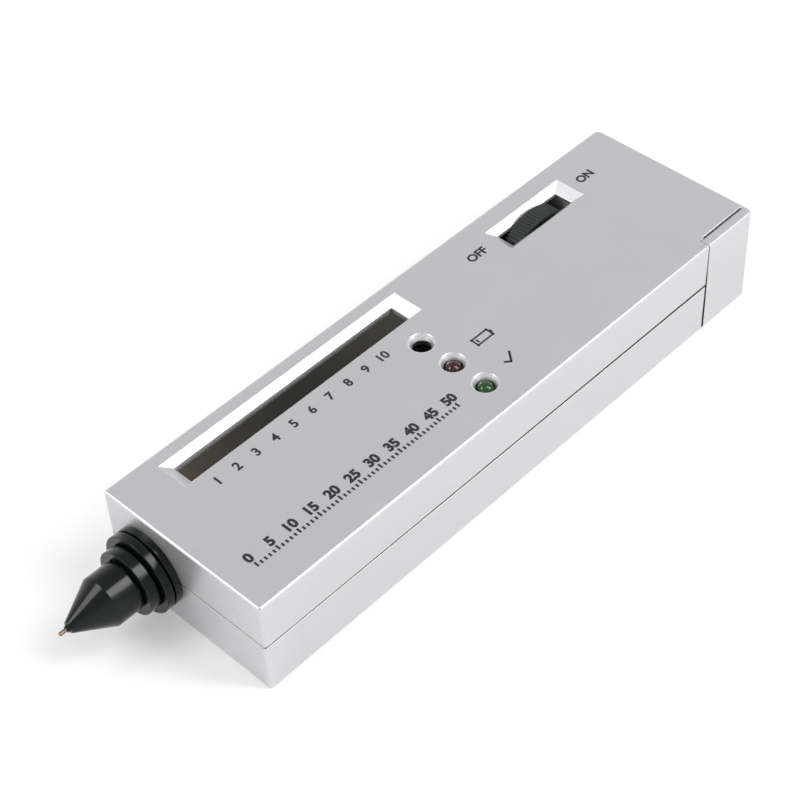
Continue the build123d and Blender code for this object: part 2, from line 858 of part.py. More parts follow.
def wheel_shaft():
    """Shaft that turns in the potentiometer."""
    shaft = rod_y(wheel_x, wheel_seat_y, shaft_end_y, wheel_z, shaft_radius)
    return shaft - rod_y(wheel_x, wheel_seat_y, wheel_seat_y + wheel_screw_length, wheel_z,
                         wheel_screw_radius + thread_play)


def wheel_screw():
    """Screw that holds the wheel on its shaft."""
    head_y = wheel_seat_y - wheel_screw_head_height
    end_y = wheel_seat_y + wheel_screw_length - thread_play
    screw = rod_y(wheel_x, head_y, wheel_seat_y, wheel_z, wheel_screw_head)
    screw += rod_y(wheel_x, wheel_seat_y, end_y, wheel_z, wheel_screw_radius)
    slot = block(
        wheel_x - wheel_screw_head, wheel_x + wheel_screw_head, head_y, head_y + cross_width,
        wheel_z - cross_width / 2, wheel_z + cross_width / 2
    )
    return screw - slot


def potentiometer_case():
    """Round body with the switch in its foot, between the floor and the far wall."""
    body = rod_y(wheel_x, potentiometer_y0, inner_far_y, wheel_z, potentiometer_radius)
    body += block(foot_x0, foot_x1, potentiometer_y0, inner_far_y, floor, wheel_z)
    return body - rod_y(wheel_x, potentiometer_y0, shaft_end_y + seat_gap, wheel_z, shaft_radius + slip)


def switch_pin_z(index):
    """Height of one solder pin."""
    return floor + switch_pin_lift + index * switch_pin_pitch


def potentiometer_pins():
    """Solder pins on the foot's front side."""
    pins = []
    for index in range(switch_pins):
        z = switch_pin_z(index)
        pins.append(block(
            foot_x0 - switch_pin_length, foot_x0, potentiometer_mid_y - switch_pin_width / 2,
            potentiometer_mid_y + switch_pin_width / 2, z, z + switch_pin_thickness
        ))
    return Compound(children=pins)


def switch_leads():
    """Two wires from the switch pins round the mid boss to the board's underside."""
    wires = []
    lane_y = screw_far_y - boss_radius - switch_lead_gap
    pin_x = foot_x0 - switch_pin_length
    end_x = board_x1 - post_inset
    for index in (0, 2):
        z = switch_pin_z(index) + switch_pin_thickness / 2
        end_y = lane_y - (index + 1) * switch_lead_pitch
        points = [
            (pin_x, potentiometer_mid_y, z),
            (pin_x - switch_lead_straight, potentiometer_mid_y, z),
            (mid_boss_x + 2 * boss_radius, lane_y, z),
            (mid_boss_x, lane_y, z),
            (end_x, end_y, z),
            (end_x, end_y, board_height),
        ]
        wires.append(wire(points, switch_lead_radius, switch_lead_bend))
    return Compound(children=wires)


def battery_case():
    """Nine-volt block."""
    case = block(battery_x0, battery_x1, battery_y0, battery_y1, floor, floor + battery_thickness)
    return fillet(case.edges().filter_by(Axis.X), battery_round)


def terminal_places():
    """Side offset and radius of the two studs."""
    half = terminal_spacing / 2
    return [(battery_y - half, minus_radius), (battery_y + half, plus_radius)]


def battery_terminals():
    """Studs on the battery's front end."""
    studs = []
    for y, radius in terminal_places():
        studs.append(rod_x(battery_x0 - terminal_height, battery_x0, y, battery_z, radius))
    return Compound(children=studs)


def battery_connector():
    """Snap cap over the studs."""
    cap = block(
        connector_x0, battery_x0, battery_y0 + connector_side_inset, battery_y1 - connector_side_inset,
        battery_z - connector_height / 2, battery_z + connector_height / 2
    )
    pocket_x = connector_x0 + pocket_wall
    for y, radius in terminal_places():
        cap -= rod_x(pocket_x, battery_x0, y, battery_z, radius + slip + contact_wall + contact_play)
    return cap


def connector_contacts():
    """Spring cups that grip the studs."""
    cups = []
    for y, radius in terminal_places():
        x0 = connector_x0 + pocket_wall
        cup = rod_x(x0, x0 + contact_length, y, battery_z, radius + slip + contact_wall)
        cups.append(cup - rod_x(x0, x0 + contact_length, y, battery_z, radius + slip))
    return Compound(children=cups)


def battery_lead(side):
    """Wire from the snap cap to the top of the board."""
    y = battery_y + side * battery_lead_pitch / 2
    z = board_top + battery_lead_rise
    end_x = board_x1 - 2 * battery_lead_radius
    points = [(connector_x0, y, z), (end_x, y, z), (end_x, y, board_top)]
    return wire(points, battery_lead_radius, battery_lead_bend)


def build():
    """Write one STEP file for each sub-part."""
    form = case_form()
    nodes = {
        "top_shell": top_shell(form),
        "bottom_shell": bottom_shell(form),
        "battery_door": battery_door(form),
        "battery_pad": battery_pad(),
        "display_window": display_window(),
        "bar_holder": bar_holder(),
        "bar_leds_green": bar_leds(0),
        "bar_leds_yellow": bar_leds(bar_colour_count),
        "bar_leds_red": bar_leds(2 * bar_colour_count),
        "low_battery_led": domed_led(low_battery_y),
        "ready_led": domed_led(ready_y),
        "led_spacers": led_spacers(),
        "buzzer": buzzer(),
        "main_board": main_board(),
        "board_screws": board_screws(),
        "case_screws": case_screws(),
        "driver_chip": chip_body(driver_y, driver_pins),
        "amplifier_chip": chip_body(amplifier_y, amplifier_pins),
        "chip_pins": chip_pins(),
        "resistors": resistors(),
        "capacitors": capacitors(),
        "trimmer": trimmer(),
        "probe_collar": probe_collar(),
        "nose_cone": nose_cone(),
        "probe_tip": probe_tip(),
        "probe_heater": probe_heater(),
        "probe_spring": probe_spring(),
        "probe_nut": probe_nut(),
        "probe_leads": probe_leads(),
        "thumbwheel": thumbwheel(),
        "wheel_shaft": wheel_shaft(),
        "wheel_screw": wheel_screw(),
        "potentiometer_case": potentiometer_case(),
        "potentiometer_pins": potentiometer_pins(),
        "switch_leads": switch_leads(),
        "battery_case": battery_case(),
        "battery_terminals": battery_terminals(),
        "battery_connector": battery_connector(),
        "connector_contacts": connector_contacts(),
        "battery_lead_red": battery_lead(1),
        "battery_lead_black": battery_lead(-1),
    }
    os.makedirs("parts", exist_ok=True)
    for name, shape in nodes.items():
        export_step(shape, f"parts/{name}.step")


build()
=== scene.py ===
"""Handheld gem tester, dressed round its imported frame.

+Z is up, +X runs from the probe end to the rear and +Y from the near side to the far side. The origin
is the centre of the case's underside, as in the construction model. Lengths are in millimetres up to
the meshes, which are in metres.
"""

import math
from collections import namedtuple

import bmesh
import bpy
from mathutils import Euler, Matrix, Vector


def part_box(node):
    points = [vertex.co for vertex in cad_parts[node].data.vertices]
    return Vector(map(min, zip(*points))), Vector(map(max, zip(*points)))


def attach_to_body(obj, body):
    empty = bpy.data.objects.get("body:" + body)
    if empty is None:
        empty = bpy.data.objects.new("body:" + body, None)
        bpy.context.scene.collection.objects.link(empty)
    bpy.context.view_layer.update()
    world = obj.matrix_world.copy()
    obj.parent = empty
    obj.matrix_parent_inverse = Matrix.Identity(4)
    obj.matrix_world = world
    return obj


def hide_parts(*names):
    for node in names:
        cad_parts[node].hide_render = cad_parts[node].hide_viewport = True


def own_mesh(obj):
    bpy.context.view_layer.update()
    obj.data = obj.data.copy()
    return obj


bl_info = {
    "name": "Gem Tester",
    "version": (1, 0, 0),
    "blender": (4, 5, 0),
    "location": "View3D > Sidebar > Gem Tester",
    "description": "Builds a handheld gem tester round its packed frame",
    "category": "Add Mesh",
}

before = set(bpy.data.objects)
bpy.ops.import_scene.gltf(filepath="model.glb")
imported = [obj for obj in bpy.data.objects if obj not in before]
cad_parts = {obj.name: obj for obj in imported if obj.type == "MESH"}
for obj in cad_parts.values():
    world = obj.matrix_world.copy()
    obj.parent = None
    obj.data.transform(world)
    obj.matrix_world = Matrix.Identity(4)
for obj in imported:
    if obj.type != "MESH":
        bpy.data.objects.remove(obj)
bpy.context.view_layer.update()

MM = 0.001
# Points nearer than this are one, in a construction mesh and in a new one
WELD = 0.002
TINY = 0.0001
FLAT_ANGLE = math.radians(0.5)
SHARP_ANGLE = math.radians(32)
BEVEL_ANGLE = math.radians(28)
ROUND_STEPS = 128
CORNER_STEPS = 4
EDGE_STEPS = 3
RIB_STEPS = 14
# Most of a line that the rounding at one of its ends may take
EASE_SHARE = 0.45
# Bend of a wire, in radii of the wire
WIRE_BEND = 3
# From the middle of a domed light to either of its legs
LEG_PLACE = 1.02
# From the top face down to where the lacquer's dust and the painted light inside are full, and to where they
# end
DUST_AND_LIGHT_FULL = 5.0
DUST_AND_LIGHT_END = 9.0
# Length of the battery's coloured end
BRONZE_BAND = 13.0

# What tells the painted outside of the case from its bare inside
RECESS_DEPTH = 2.0
CORNER_ROUND = 1.3
HEEL_ROUND = 2.5
SKIN = 0.15
HEEL_SKIN = 0.75
# Below this depth and within this radius of a round hole, its wall gets a near-black skin as painted shade
SINK_DEPTH = 1.3
HOLE_SKIN = 1.9


Box = namedtuple("Box", "low high middle size")


def box(node_name):
    """Lowest and highest corner of a construction node, its middle and its size."""
    low, high = (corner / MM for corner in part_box(node_name))
    return Box(low, high, (low + high) / 2, high - low)


case_low = box("bottom_shell").low
case_high = box("top_shell").high
front_x = case_low.x
rear_x = case_high.x
top_z = case_high.z
parting_z = box("top_shell").low.z
window = box("display_window")
hole_centres = [box(node_name).middle.xy for node_name in ("low_battery_led", "ready_led", "buzzer")]


def linear(code):
    """Linear RGBA of an sRGB hex colour."""
    channels = [int(code[start:start + 2], 16) / 255 for start in (1, 3, 5)]
    curve = [c / 12.92 if c <= 0.04045 else ((c + 0.055) / 1.055) ** 2.4 for c in channels]
    return (*curve, 1.0)


def colour_property(name, code, description):
    """Colour that a user can change, from its hex code."""
    return bpy.props.FloatVectorProperty(
        name=name, description=description, subtype="COLOR", size=4, min=0, max=1, default=linear(code)
    )


def length_property(name, millimetres, description):
    """Length that a user can change, from millimetres."""
    return bpy.props.FloatProperty(
        name=name, description=description, unit="LENGTH", precision=5, default=millimetres * MM
    )


def number_property(name, default, description, **limits):
    """Plain number that a user can change."""
    return bpy.props.FloatProperty(name=name, description=description, default=default, **limits)


class CaseSettings(bpy.types.PropertyGroup):
    """Finish of the case halves and the battery door."""
    edge: length_property("Edge", 0.36, "Rounding of the softest moulded edges")
    paint: colour_property("Paint", "#d7d7d8", "Silver lacquer")
    flake: colour_property("Flake", "#c8c8cb", "Darker flakes in the lacquer")
    plastic: colour_property("Plastic", "#55574c", "Bare moulding inside")


class ProbeSettings(bpy.types.PropertyGroup):
    """Sizes and colours of the probe."""
    corner: length_property("Corner", 0.18, "Rounding of the turned corners")
    black: colour_property("Black", "#080d0b", "Polished black plastic")
    copper: colour_property("Copper", "#a8988f", "Pin")


class WheelSettings(bpy.types.PropertyGroup):
    """Sizes and colour of the thumbwheel."""
    ribs: bpy.props.IntProperty(name="Ribs", description="Ribs round the rim", default=72, min=8)
    rib: length_property("Rib radius", 0.27, "Radius of one rib's round back")
    black: colour_property("Black", "#1c201f", "Moulded plastic")


class LightSettings(bpy.types.PropertyGroup):
    """Colours of the lights."""
    red: colour_property("Red", "#64172a", "Low battery light")
    green: colour_property("Green", "#33773c", "Ready light")
    yellow: colour_property("Yellow", "#c59a2e", "Middle of the light bar")


class PrintSettings(bpy.types.PropertyGroup):
    """The printing on the top face."""
    thickness: length_property("Thickness", 0.025, "Height of the ink above the paint")
    ink: colour_property("Ink", "#141517", "Screen printing ink")


class StageSettings(bpy.types.PropertyGroup):
    """Floor, lamps and surroundings."""
    floor: colour_property("Floor", "#f5f5f5", "Paper under the tester")
    key: number_property("Key", 3.2, "Softbox past the near side, in watts")
    side: number_property("Side", 1.5, "Softbox past the probe end, in watts")
    backlight: number_property("Backlight", 0.25, "Part of the paper's white that it glows", min=0, max=1)
    walls: number_property("Walls", 1.17, "Light of the surroundings at eye level")
    ceiling: number_property("Ceiling", 0.6, "Light of the surroundings overhead")


SETTINGS = {
    "gem_tester_case": CaseSettings,
    "gem_tester_probe": ProbeSettings,
    "gem_tester_wheel": WheelSettings,
    "gem_tester_lights": LightSettings,
    "gem_tester_print": PrintSettings,
    "gem_tester_stage": StageSettings,
}


def shown(sockets, name):
    """The socket of that name which the node's settings leave in use."""
    return next(socket for socket in sockets if socket.name == name and socket.enabled)


def add_node(tree, kind, inputs=None, **settings):
    """Add a node, set its settings, and give its sockets values or links."""
    made = tree.nodes.new(kind)
    for name, value in settings.items():
        setattr(made, name, value)
    for name, value in (inputs or {}).items():
        socket = made.inputs[name] if isinstance(name, int) else shown(made.inputs, name)
        if isinstance(value, bpy.types.NodeSocket):
            tree.links.new(value, socket)
        else:
            socket.default_value = value
    return made


def grain(tree, size, low=0.0, high=1.0, stretch=(1, 1, 1)):
    """A value that wanders between low and high over patches of that size."""
    place = add_node(tree, "ShaderNodeTexCoord").outputs["Object"]
    place = add_node(tree, "ShaderNodeMapping", {"Vector": place, "Scale": stretch}).outputs["Vector"]
    noise = add_node(tree, "ShaderNodeTexNoise", {"Vector": place, "Scale": 1 / (size * MM)})
    spread = {"Value": noise.outputs["Fac"], "From Min": 0.3, "From Max": 0.7, "To Min": low, "To Max": high}
    return add_node(tree, "ShaderNodeMapRange", spread).outputs["Result"]


def ramp(tree, axis, start, end, low=0.0, high=1.0):
    """A value that goes from low to high between two places along an axis."""
    place = add_node(tree, "ShaderNodeTexCoord").outputs["Object"]
    along = add_node(tree, "ShaderNodeSeparateXYZ", {"Vector": place}).outputs[axis]
    spread = {"Value": along, "From Min": start * MM, "From Max": end * MM, "To Min": low, "To Max": high}
    return add_node(tree, "ShaderNodeMapRange", spread).outputs["Result"]


def coat(tree, colours, roughness, share=None, relief=None, others=None):
    """Shader of one colour, or two that a share leads between; a relief has height, strength and depth."""
    inputs = {"Base Color": colours, "Roughness": roughness, **(others or {})}
    if share is not None:
        mix = {"Factor": share, "A": colours[0], "B": colours[1]}
        mix = add_node(tree, "ShaderNodeMix", mix, data_type="RGBA")
        inputs["Base Color"] = shown(mix.outputs, "Result")
    if relief is not None:
        height, strength, depth = relief
        bump = {"Height": height, "Strength": strength, "Distance": depth * MM}
        inputs["Normal"] = add_node(tree, "ShaderNodeBump", bump).outputs["Normal"]
    return add_node(tree, "ShaderNodeBsdfPrincipled", inputs).outputs["BSDF"]


def silver_paint_on_moulded_abs(tree):
    """Metallic lacquer sprayed on ABS: satin, with fine aluminium flakes and a faint orange peel."""
    case = bpy.context.scene.gem_tester_case
    peel = (grain(tree, 1.1), 0.2, 0.004)
    colours = (case.flake, case.paint)
    return coat(tree, colours, grain(tree, 9.0, 0.33, 0.38), grain(tree, 0.2), peel, {"Metallic": 0.78})


def bare_abs_with_overspray(tree):
    """Dark moulded ABS that the lacquer only dusts: matt, with more silver towards the openings on top, both
    as overspray and as painted light.
    """
    case = bpy.context.scene.gem_tester_case
    # Painted light: the inside is made lighter towards the openings on top, standing in for the light that
    # falls in there, on top of the overspray's dust
    dust_and_light = ramp(tree, "Z", top_z - DUST_AND_LIGHT_END, top_z - DUST_AND_LIGHT_FULL)
    specks = add_node(tree, "ShaderNodeMath", {0: grain(tree, 0.22, -2.2, 1.4), 1: dust_and_light}, operation="ADD")
    dusted = add_node(tree, "ShaderNodeMath", {0: specks.outputs["Value"], 1: 0.6}, operation="MAXIMUM")
    share = {0: dusted.outputs["Value"], 1: dust_and_light}
    share = add_node(tree, "ShaderNodeMath", share, operation="MULTIPLY", use_clamp=True).outputs["Value"]
    return coat(tree, (case.plastic, case.flake), grain(tree, 0.6, 0.5, 0.65), share)


def polished_black_abs(tree):
    """Turned and polished black plastic: deep gloss, with faint lathe lines round the axis."""
    black = bpy.context.scene.gem_tester_probe.black
    lines = (grain(tree, 3.0, stretch=(12.0, 0.2, 0.2)), 0.2, 0.003)
    return coat(tree, black, grain(tree, 4.0, 0.15, 0.2), relief=lines, others={"Specular IOR Level": 0.27})


def drawn_copper_wire(tree):
    """Drawn copper, a little tarnished: warm, with fine lines along the wire."""
    colours = (bpy.context.scene.gem_tester_probe.copper, linear("#5b4640"))
    stain = grain(tree, 0.7, 0.0, 0.9, stretch=(1, 0.4, 0.4))
    return coat(tree, colours, 0.26, stain, others={"Metallic": 1.0})


def satin_black_moulding(tree):
    """Black plastic from an eroded mould: satin, with a fine even texture."""
    black = bpy.context.scene.gem_tester_wheel.black
    return coat(tree, black, grain(tree, 2.0, 0.4, 0.5), relief=(grain(tree, 0.12), 0.3, 0.006))


def smoked_cast_acrylic(tree):
    """Smoked acrylic sheet: polished, green-black in its middle, brown at one end and olive at the other."""
    span = ramp(tree, "X", window.low.x, window.high.x, -1.0, 1.0)
    end = add_node(tree, "ShaderNodeMath", {0: span, 1: span}, operation="MULTIPLY").outputs["Value"]
    cloud = add_node(tree, "ShaderNodeMath", {0: end, 1: grain(tree, 9.0, 0.6, 1.0)}, operation="MULTIPLY")
    ends = {"Factor": span, "A": linear("#5a4f45"), "B": linear("#3a392d")}
    ends = shown(add_node(tree, "ShaderNodeMix", ends, data_type="RGBA").outputs, "Result")
    clear = {"Specular IOR Level": 0.35, "Transmission Weight": 0.35}
    return coat(tree, (linear("#161811"), ends), 0.08, cloud.outputs["Value"], others=clear)


def dyed_cast_epoxy(tree, colour):
    """Dyed epoxy of a light: clear and glossy, with the lead frame showing through."""
    clear = {"IOR": 1.54, "Transmission Weight": 0.7}
    return coat(tree, (colour, linear("#20201f")), 0.05, grain(tree, 0.8, 0.0, 0.3), others=clear)


def plated_metal(tree, colour):
    """Plated steel or brass: bright, with a fine brushed unevenness from the tumbling barrel."""
    colours = (colour, linear("#8b8984"))
    dull = grain(tree, 0.9, 0.0, 0.5)
    return coat(tree, colours, grain(tree, 0.5, 0.2, 0.36), dull, others={"Metallic": 1.0})


def screen_printed_ink(tree):
    """Matt black ink pulled through a screen: dense, with a slightly uneven coat."""
    colours = (bpy.context.scene.gem_tester_print.ink, linear("#25272b"))
    return coat(tree, colours, 0.55, grain(tree, 0.35, 0.0, 0.5))


def moulded_plastic(tree, colour, roughness):
    """Plain moulded plastic of an inner piece: even colour with slight flow marks."""
    flow = grain(tree, 3.0, 0.0, 0.35, stretch=(0.5, 1, 1))
    return coat(tree, (colour, linear("#5a5a58")), roughness, flow)


def open_cell_foam(tree):
    """Grey polyurethane foam: matt, its open cells a fine pattern of pits, darker in their hollows as
    painted shade.
    """
    place = add_node(tree, "ShaderNodeTexCoord").outputs["Object"]
    cells = {"Vector": place, "Scale": 1 / (0.45 * MM)}
    cells = add_node(tree, "ShaderNodeTexVoronoi", cells).outputs["Distance"]
    # Painted shade: the pits of the cells are coloured darker where they are deepest
    return coat(tree, (linear("#202122"), linear("#55575a")), 0.95, cells, (cells, 0.6, 0.15))


def solder_masked_glass_epoxy(tree):
    """Circuit board: glossy green solder mask, with copper tracks that show through as lighter lines."""
    place = add_node(tree, "ShaderNodeTexCoord").outputs["Object"]
    tracks = {"Vector": place, "Scale": 1 / (3.4 * MM)}
    tracks = add_node(tree, "ShaderNodeTexVoronoi", tracks, distance="CHEBYCHEV").outputs["Distance"]
    band = add_node(tree, "ShaderNodeMath", {0: tracks, 1: 0.16}, operation="PINGPONG").outputs["Value"]
    line = add_node(tree, "ShaderNodeMath", {0: band, 1: 0.1}, operation="GREATER_THAN").outputs["Value"]
    return coat(tree, (linear("#0f4a28"), linear("#1f7040")), 0.32, line, (line, 0.5, 0.03))


def lacquered_battery_jacket(tree):
    """Printed steel jacket of a nine-volt block: black lacquer with a bronze band at the terminal end."""
    edge = box("battery_case").low.x + BRONZE_BAND
    bronze = ramp(tree, "X", edge, edge + 0.01, 1.0, 0.0)
    colours = (linear("#1c1d20"), linear("#a9743c"))
    return coat(tree, colours, grain(tree, 5.0, 0.22, 0.32), bronze, others={"Metallic": 0.6})


def pvc_insulation(tree, colour):
    """Extruded PVC of a hook-up wire: soft sheen, with a faint unevenness along it."""
    skin = (grain(tree, 0.6, stretch=(0.3, 1, 1)), 0.2, 0.02)
    return coat(tree, colour, grain(tree, 2.0, 0.4, 0.5), relief=skin)


def studio_paper(tree):
    """Seamless white paper: matt, lit by its own backlight where it is seen, so that it stays white."""
    stage = bpy.context.scene.gem_tester_stage
    rays = add_node(tree, "ShaderNodeLightPath").outputs
    seen = rays["Is Camera Ray"]
    for name in ("Is Glossy Ray", "Is Transmission Ray"):
        either = add_node(tree, "ShaderNodeMath", {0: seen, 1: rays[name]}, operation="MAXIMUM")
        seen = either.outputs["Value"]
    share = add_node(tree, "ShaderNodeMath", {0: seen, 1: stage.backlight}, operation="MULTIPLY")
    tooth = {"Height": grain(tree, 0.4), "Strength": 0.1, "Distance": 0.01 * MM}
    tooth = add_node(tree, "ShaderNodeBump", tooth).outputs["Normal"]
    matt = add_node(tree, "ShaderNodeBsdfDiffuse", {"Color": stage.floor, "Normal": tooth})
    glow = add_node(tree, "ShaderNodeEmission", {"Color": linear("#ffffff"), "Strength": 0.98})
    mixed = {0: share.outputs["Value"], 1: matt.outputs["BSDF"], 2: glow.outputs["Emission"]}
    return add_node(tree, "ShaderNodeMixShader", mixed).outputs["Shader"]


# Colours of the recipes that come in several tints, and the roughness of the plastic ones
TINTS = {
    plated_metal: {
        "zinc": ("#b9b9bb",),
        "tinned": ("#d9d7d0",),
        "nickel": ("#d2cdc2",),
        "drawn_aluminium": ("#c9cacc",),
    },
    moulded_plastic: {
        "black": ("#191a1a", 0.5),
        # Near black: painted shade on the walls of the round holes
        "in_shade": ("#0d0f0e", 0.6),
        "blue": ("#1d4fa0", 0.35),
        "ceramic": ("#e6e4dc", 0.7),
        "sleeve": ("#1f2a3c", 0.3),
        "tan": ("#cbb48a", 0.4),
        "marking": ("#6a6b6b", 0.6),
    },
    pvc_insulation: {
        "white": ("#e2e2de",),
        "black": ("#151515",),
        "red": ("#a51c1c",),
    },
}


def finish(recipe, *values, tag=""):
    """The material of a recipe, built on first use."""
    name = recipe.__name__ + tag
    made = bpy.data.materials.get(name)
    if made is None:
        made = bpy.data.materials.new(name)
        made.use_nodes = True
        made.node_tree.nodes.clear()
        surface = recipe(made.node_tree, *values)
        add_node(made.node_tree, "ShaderNodeOutputMaterial", {"Surface": surface})
    return made


def tinted(recipe, tint):
    """The material of a recipe in one of its tints."""
    code, *values = TINTS[recipe][tint]
    return finish(recipe, linear(code), *values, tag="_" + tint)


def plain_piece(name, data):
    """Object with that mesh or curve, in the scene."""
    data.name = name
    piece = bpy.data.objects.new(name, data)
    bpy.context.scene.collection.objects.link(piece)
    return piece


def freed(piece):
    """Remove a piece's object and give its mesh."""
    mesh = piece.data
    bpy.data.objects.remove(piece)
    return mesh


def mesh_from(shape, mesh=None):
    """Mesh of a bmesh, new or given: outward faces, smooth but for its sharp edges."""
    shape.normal_update()
    for face in shape.faces:
        face.smooth = True
    for edge in shape.edges:
        edge.smooth = edge.calc_face_angle(0) < SHARP_ANGLE
    mesh = mesh or bpy.data.meshes.new("shape")
    shape.to_mesh(mesh)
    shape.free()
    return mesh


def flattened(piece):
    """The piece with its modifiers, or its text, worked into a plain mesh."""
    bpy.context.view_layer.update()
    depsgraph = bpy.context.evaluated_depsgraph_get()
    mesh = bpy.data.meshes.new_from_object(piece.evaluated_get(depsgraph), depsgraph=depsgraph)
    name = piece.name
    bpy.data.objects.remove(piece)
    return plain_piece(name, mesh)


def weighted(piece, by_strength=False):
    """The piece with its corner normals led by its large faces, or by the faces' strengths."""
    shading = piece.modifiers.new("shading", "WEIGHTED_NORMAL")
    shading.keep_sharp = True
    shading.use_face_influence = by_strength
    return flattened(piece)


def eased(outline, radius):
    """Outline, of (along, radius) points or of places, with its inner corners rounded."""
    points = [Vector(point) for point in outline]
    soft = [points[0]]
    for before, corner, after in zip(points, points[1:], points[2:]):
        back = before - corner
        ahead = after - corner
        half = back.angle(ahead) / 2
        reach = min(radius / math.tan(half), EASE_SHARE * back.length, EASE_SHARE * ahead.length)
        start = corner + back.normalized() * reach
        end = corner + ahead.normalized() * reach
        for step in range(CORNER_STEPS + 1):
            t = step / CORNER_STEPS
            soft.append((1 - t) ** 2 * start + 2 * t * (1 - t) * corner + t ** 2 * end)
    soft.append(points[-1])
    return soft


def spun(outline, centre=(0, 0, 0), axis="Z", steps=ROUND_STEPS):
    """Closed mesh of revolution from (along, radius) points, about an axis through a centre."""
    shape = bmesh.new()
    rings = []
    for along, radius in outline:
        turns = steps if radius > TINY else 1
        angles = [math.tau * turn / turns for turn in range(turns)]
        rings.append([shape.verts.new((along, radius * math.cos(a), radius * math.sin(a))) for a in angles])
    pairs = list(zip(rings, rings[1:]))
    if len(rings[0]) > 1 and len(rings[-1]) > 1:
        pairs.append((rings[-1], rings[0]))
    for first, second in pairs:
        for turn in range(steps):
            after = (turn + 1) % steps
            corners = [first[turn % len(first)], first[after % len(first)]]
            corners += [second[after % len(second)], second[turn % len(second)]]
            shape.faces.new(list(dict.fromkeys(corners)))
    shift = "XYZ".index(axis)
    for vertex in shape.verts:
        place = Vector([vertex.co[(index - shift) % 3] for index in range(3)])
        vertex.co = (place + Vector(centre)) * MM
    bmesh.ops.recalc_face_normals(shape, faces=shape.faces)
    return mesh_from(shape)


def turned(name, outline, centre, axis):
    """Piece of revolution with its shading led by its large faces."""
    return weighted(plain_piece(name, spun(outline, centre, axis)))


def combined(name, meshes):
    """One piece from several meshes, each welded shut."""
    shape = bmesh.new()
    for mesh in meshes:
        shape.from_mesh(mesh)
    bmesh.ops.remove_doubles(shape, verts=shape.verts, dist=TINY * MM)
    return weighted(plain_piece(name, mesh_from(shape)))


def lofted(rings):
    """Mesh through closed rings of equally many points, its two ends filled."""
    shape = bmesh.new()
    rings = [[shape.verts.new(Vector(point) * MM) for point in ring] for ring in rings]
    shape.faces.new(rings[0])
    shape.faces.new(rings[-1])
    for first, second in zip(rings, rings[1:]):
        for index in range(len(first)):
            after = (index + 1) % len(first)
            shape.faces.new((first[index], first[after], second[after], second[index]))
    bmesh.ops.recalc_face_normals(shape, faces=shape.faces)
    return mesh_from(shape)


def bent_wire(points, radius):
    """Mesh of a round wire through points, its corners eased."""
    curve = bpy.data.curves.new("wire", "CURVE")
    curve.dimensions = "3D"
    soft = eased(points, WIRE_BEND * radius)
    spline = curve.splines.new("POLY")
    spline.points.add(len(soft) - 1)
    for spot, place in zip(spline.points, soft):
        spot.co = (*place * MM, 1.0)
    curve.bevel_depth = radius * MM
    curve.bevel_resolution = EDGE_STEPS
    curve.use_fill_caps = True
    shape = bmesh.new()
    shape.from_mesh(freed(flattened(plain_piece("wire", curve))))
    bmesh.ops.remove_doubles(shape, verts=shape.verts, dist=TINY * MM)
    return mesh_from(shape)


def add_block(shape, centre, size, turn=0.0):
    """Add a box to a bmesh, turned about the upright through its centre."""
    place = Matrix.LocRotScale(Vector(centre) * MM, Euler((0, 0, turn)), Vector(size) * MM)
    bmesh.ops.create_cube(shape, size=1, matrix=place)


def attach(piece, node_name=None, body="root", materials=()):
    """Give a finished piece its materials, its body and the node that it stands for."""
    if not piece.data.polygons:
        raise RuntimeError(f"{piece.name} has no faces")
    if materials:
        piece.data.materials.clear()
    for material in materials:
        piece.data.materials.append(material)
    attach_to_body(piece, body)
    if node_name:
        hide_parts(node_name)
    return piece


def dress(node_name, material):
    """Give a construction node that stays its material."""
    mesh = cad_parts[node_name].data
    mesh.materials.clear()
    mesh.materials.append(material)


def eased_copy(
    node_name, piece_name, width, skins, body="root",
    share=lambda point: 1.0, skin=lambda point: 0, shift=None,
):
    """Piece that stands for a node: a copy of its mesh, welded, with its outer edges rounded.

    share gives the part of the width that an edge at a place is rounded by, skin the number of the
    material of a face there, of which 0 is the outside, and shift how far a point there is moved.
    """
    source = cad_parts[node_name].data
    shape = bmesh.new()
    corners = [shape.verts.new(vertex.co) for vertex in source.vertices]
    if shift:
        for vertex in corners:
            vertex.co += shift(vertex.co / MM) * MM
    for face in source.polygons:
        shape.faces.new([corners[index] for index in face.vertices])
    bmesh.ops.remove_doubles(shape, verts=shape.verts, dist=WELD * MM)
    bmesh.ops.dissolve_limit(shape, angle_limit=FLAT_ANGLE, verts=shape.verts, edges=shape.edges)
    shape.normal_update()
    weights = shape.edges.layers.float.new("bevel_weight_edge")
    for face in shape.faces:
        face.material_index = skin(face.calc_center_median() / MM)
    for edge in shape.edges:
        middle = (edge.verts[0].co + edge.verts[1].co) / 2 / MM
        if edge.calc_face_angle(0) > BEVEL_ANGLE and edge.is_convex and skin(middle) == 0:
            edge[weights] = share(middle)
    mesh = bpy.data.meshes.new(piece_name)
    shape.to_mesh(mesh)
    shape.free()
    for material in skins:
        mesh.materials.append(material)
    piece = plain_piece(piece_name, mesh)
    bevel = piece.modifiers.new("edges", "BEVEL")
    bevel.limit_method = "WEIGHT"
    bevel.width = width * MM
    bevel.segments = EDGE_STEPS
    bevel.use_clamp_overlap = False
    bevel.face_strength_mode = "FSTR_ALL"
    piece = flattened(piece)
    shape = bmesh.new()
    shape.from_mesh(piece.data)
    mesh_from(shape, piece.data)
    return attach(weighted(piece, by_strength=True), node_name, body)


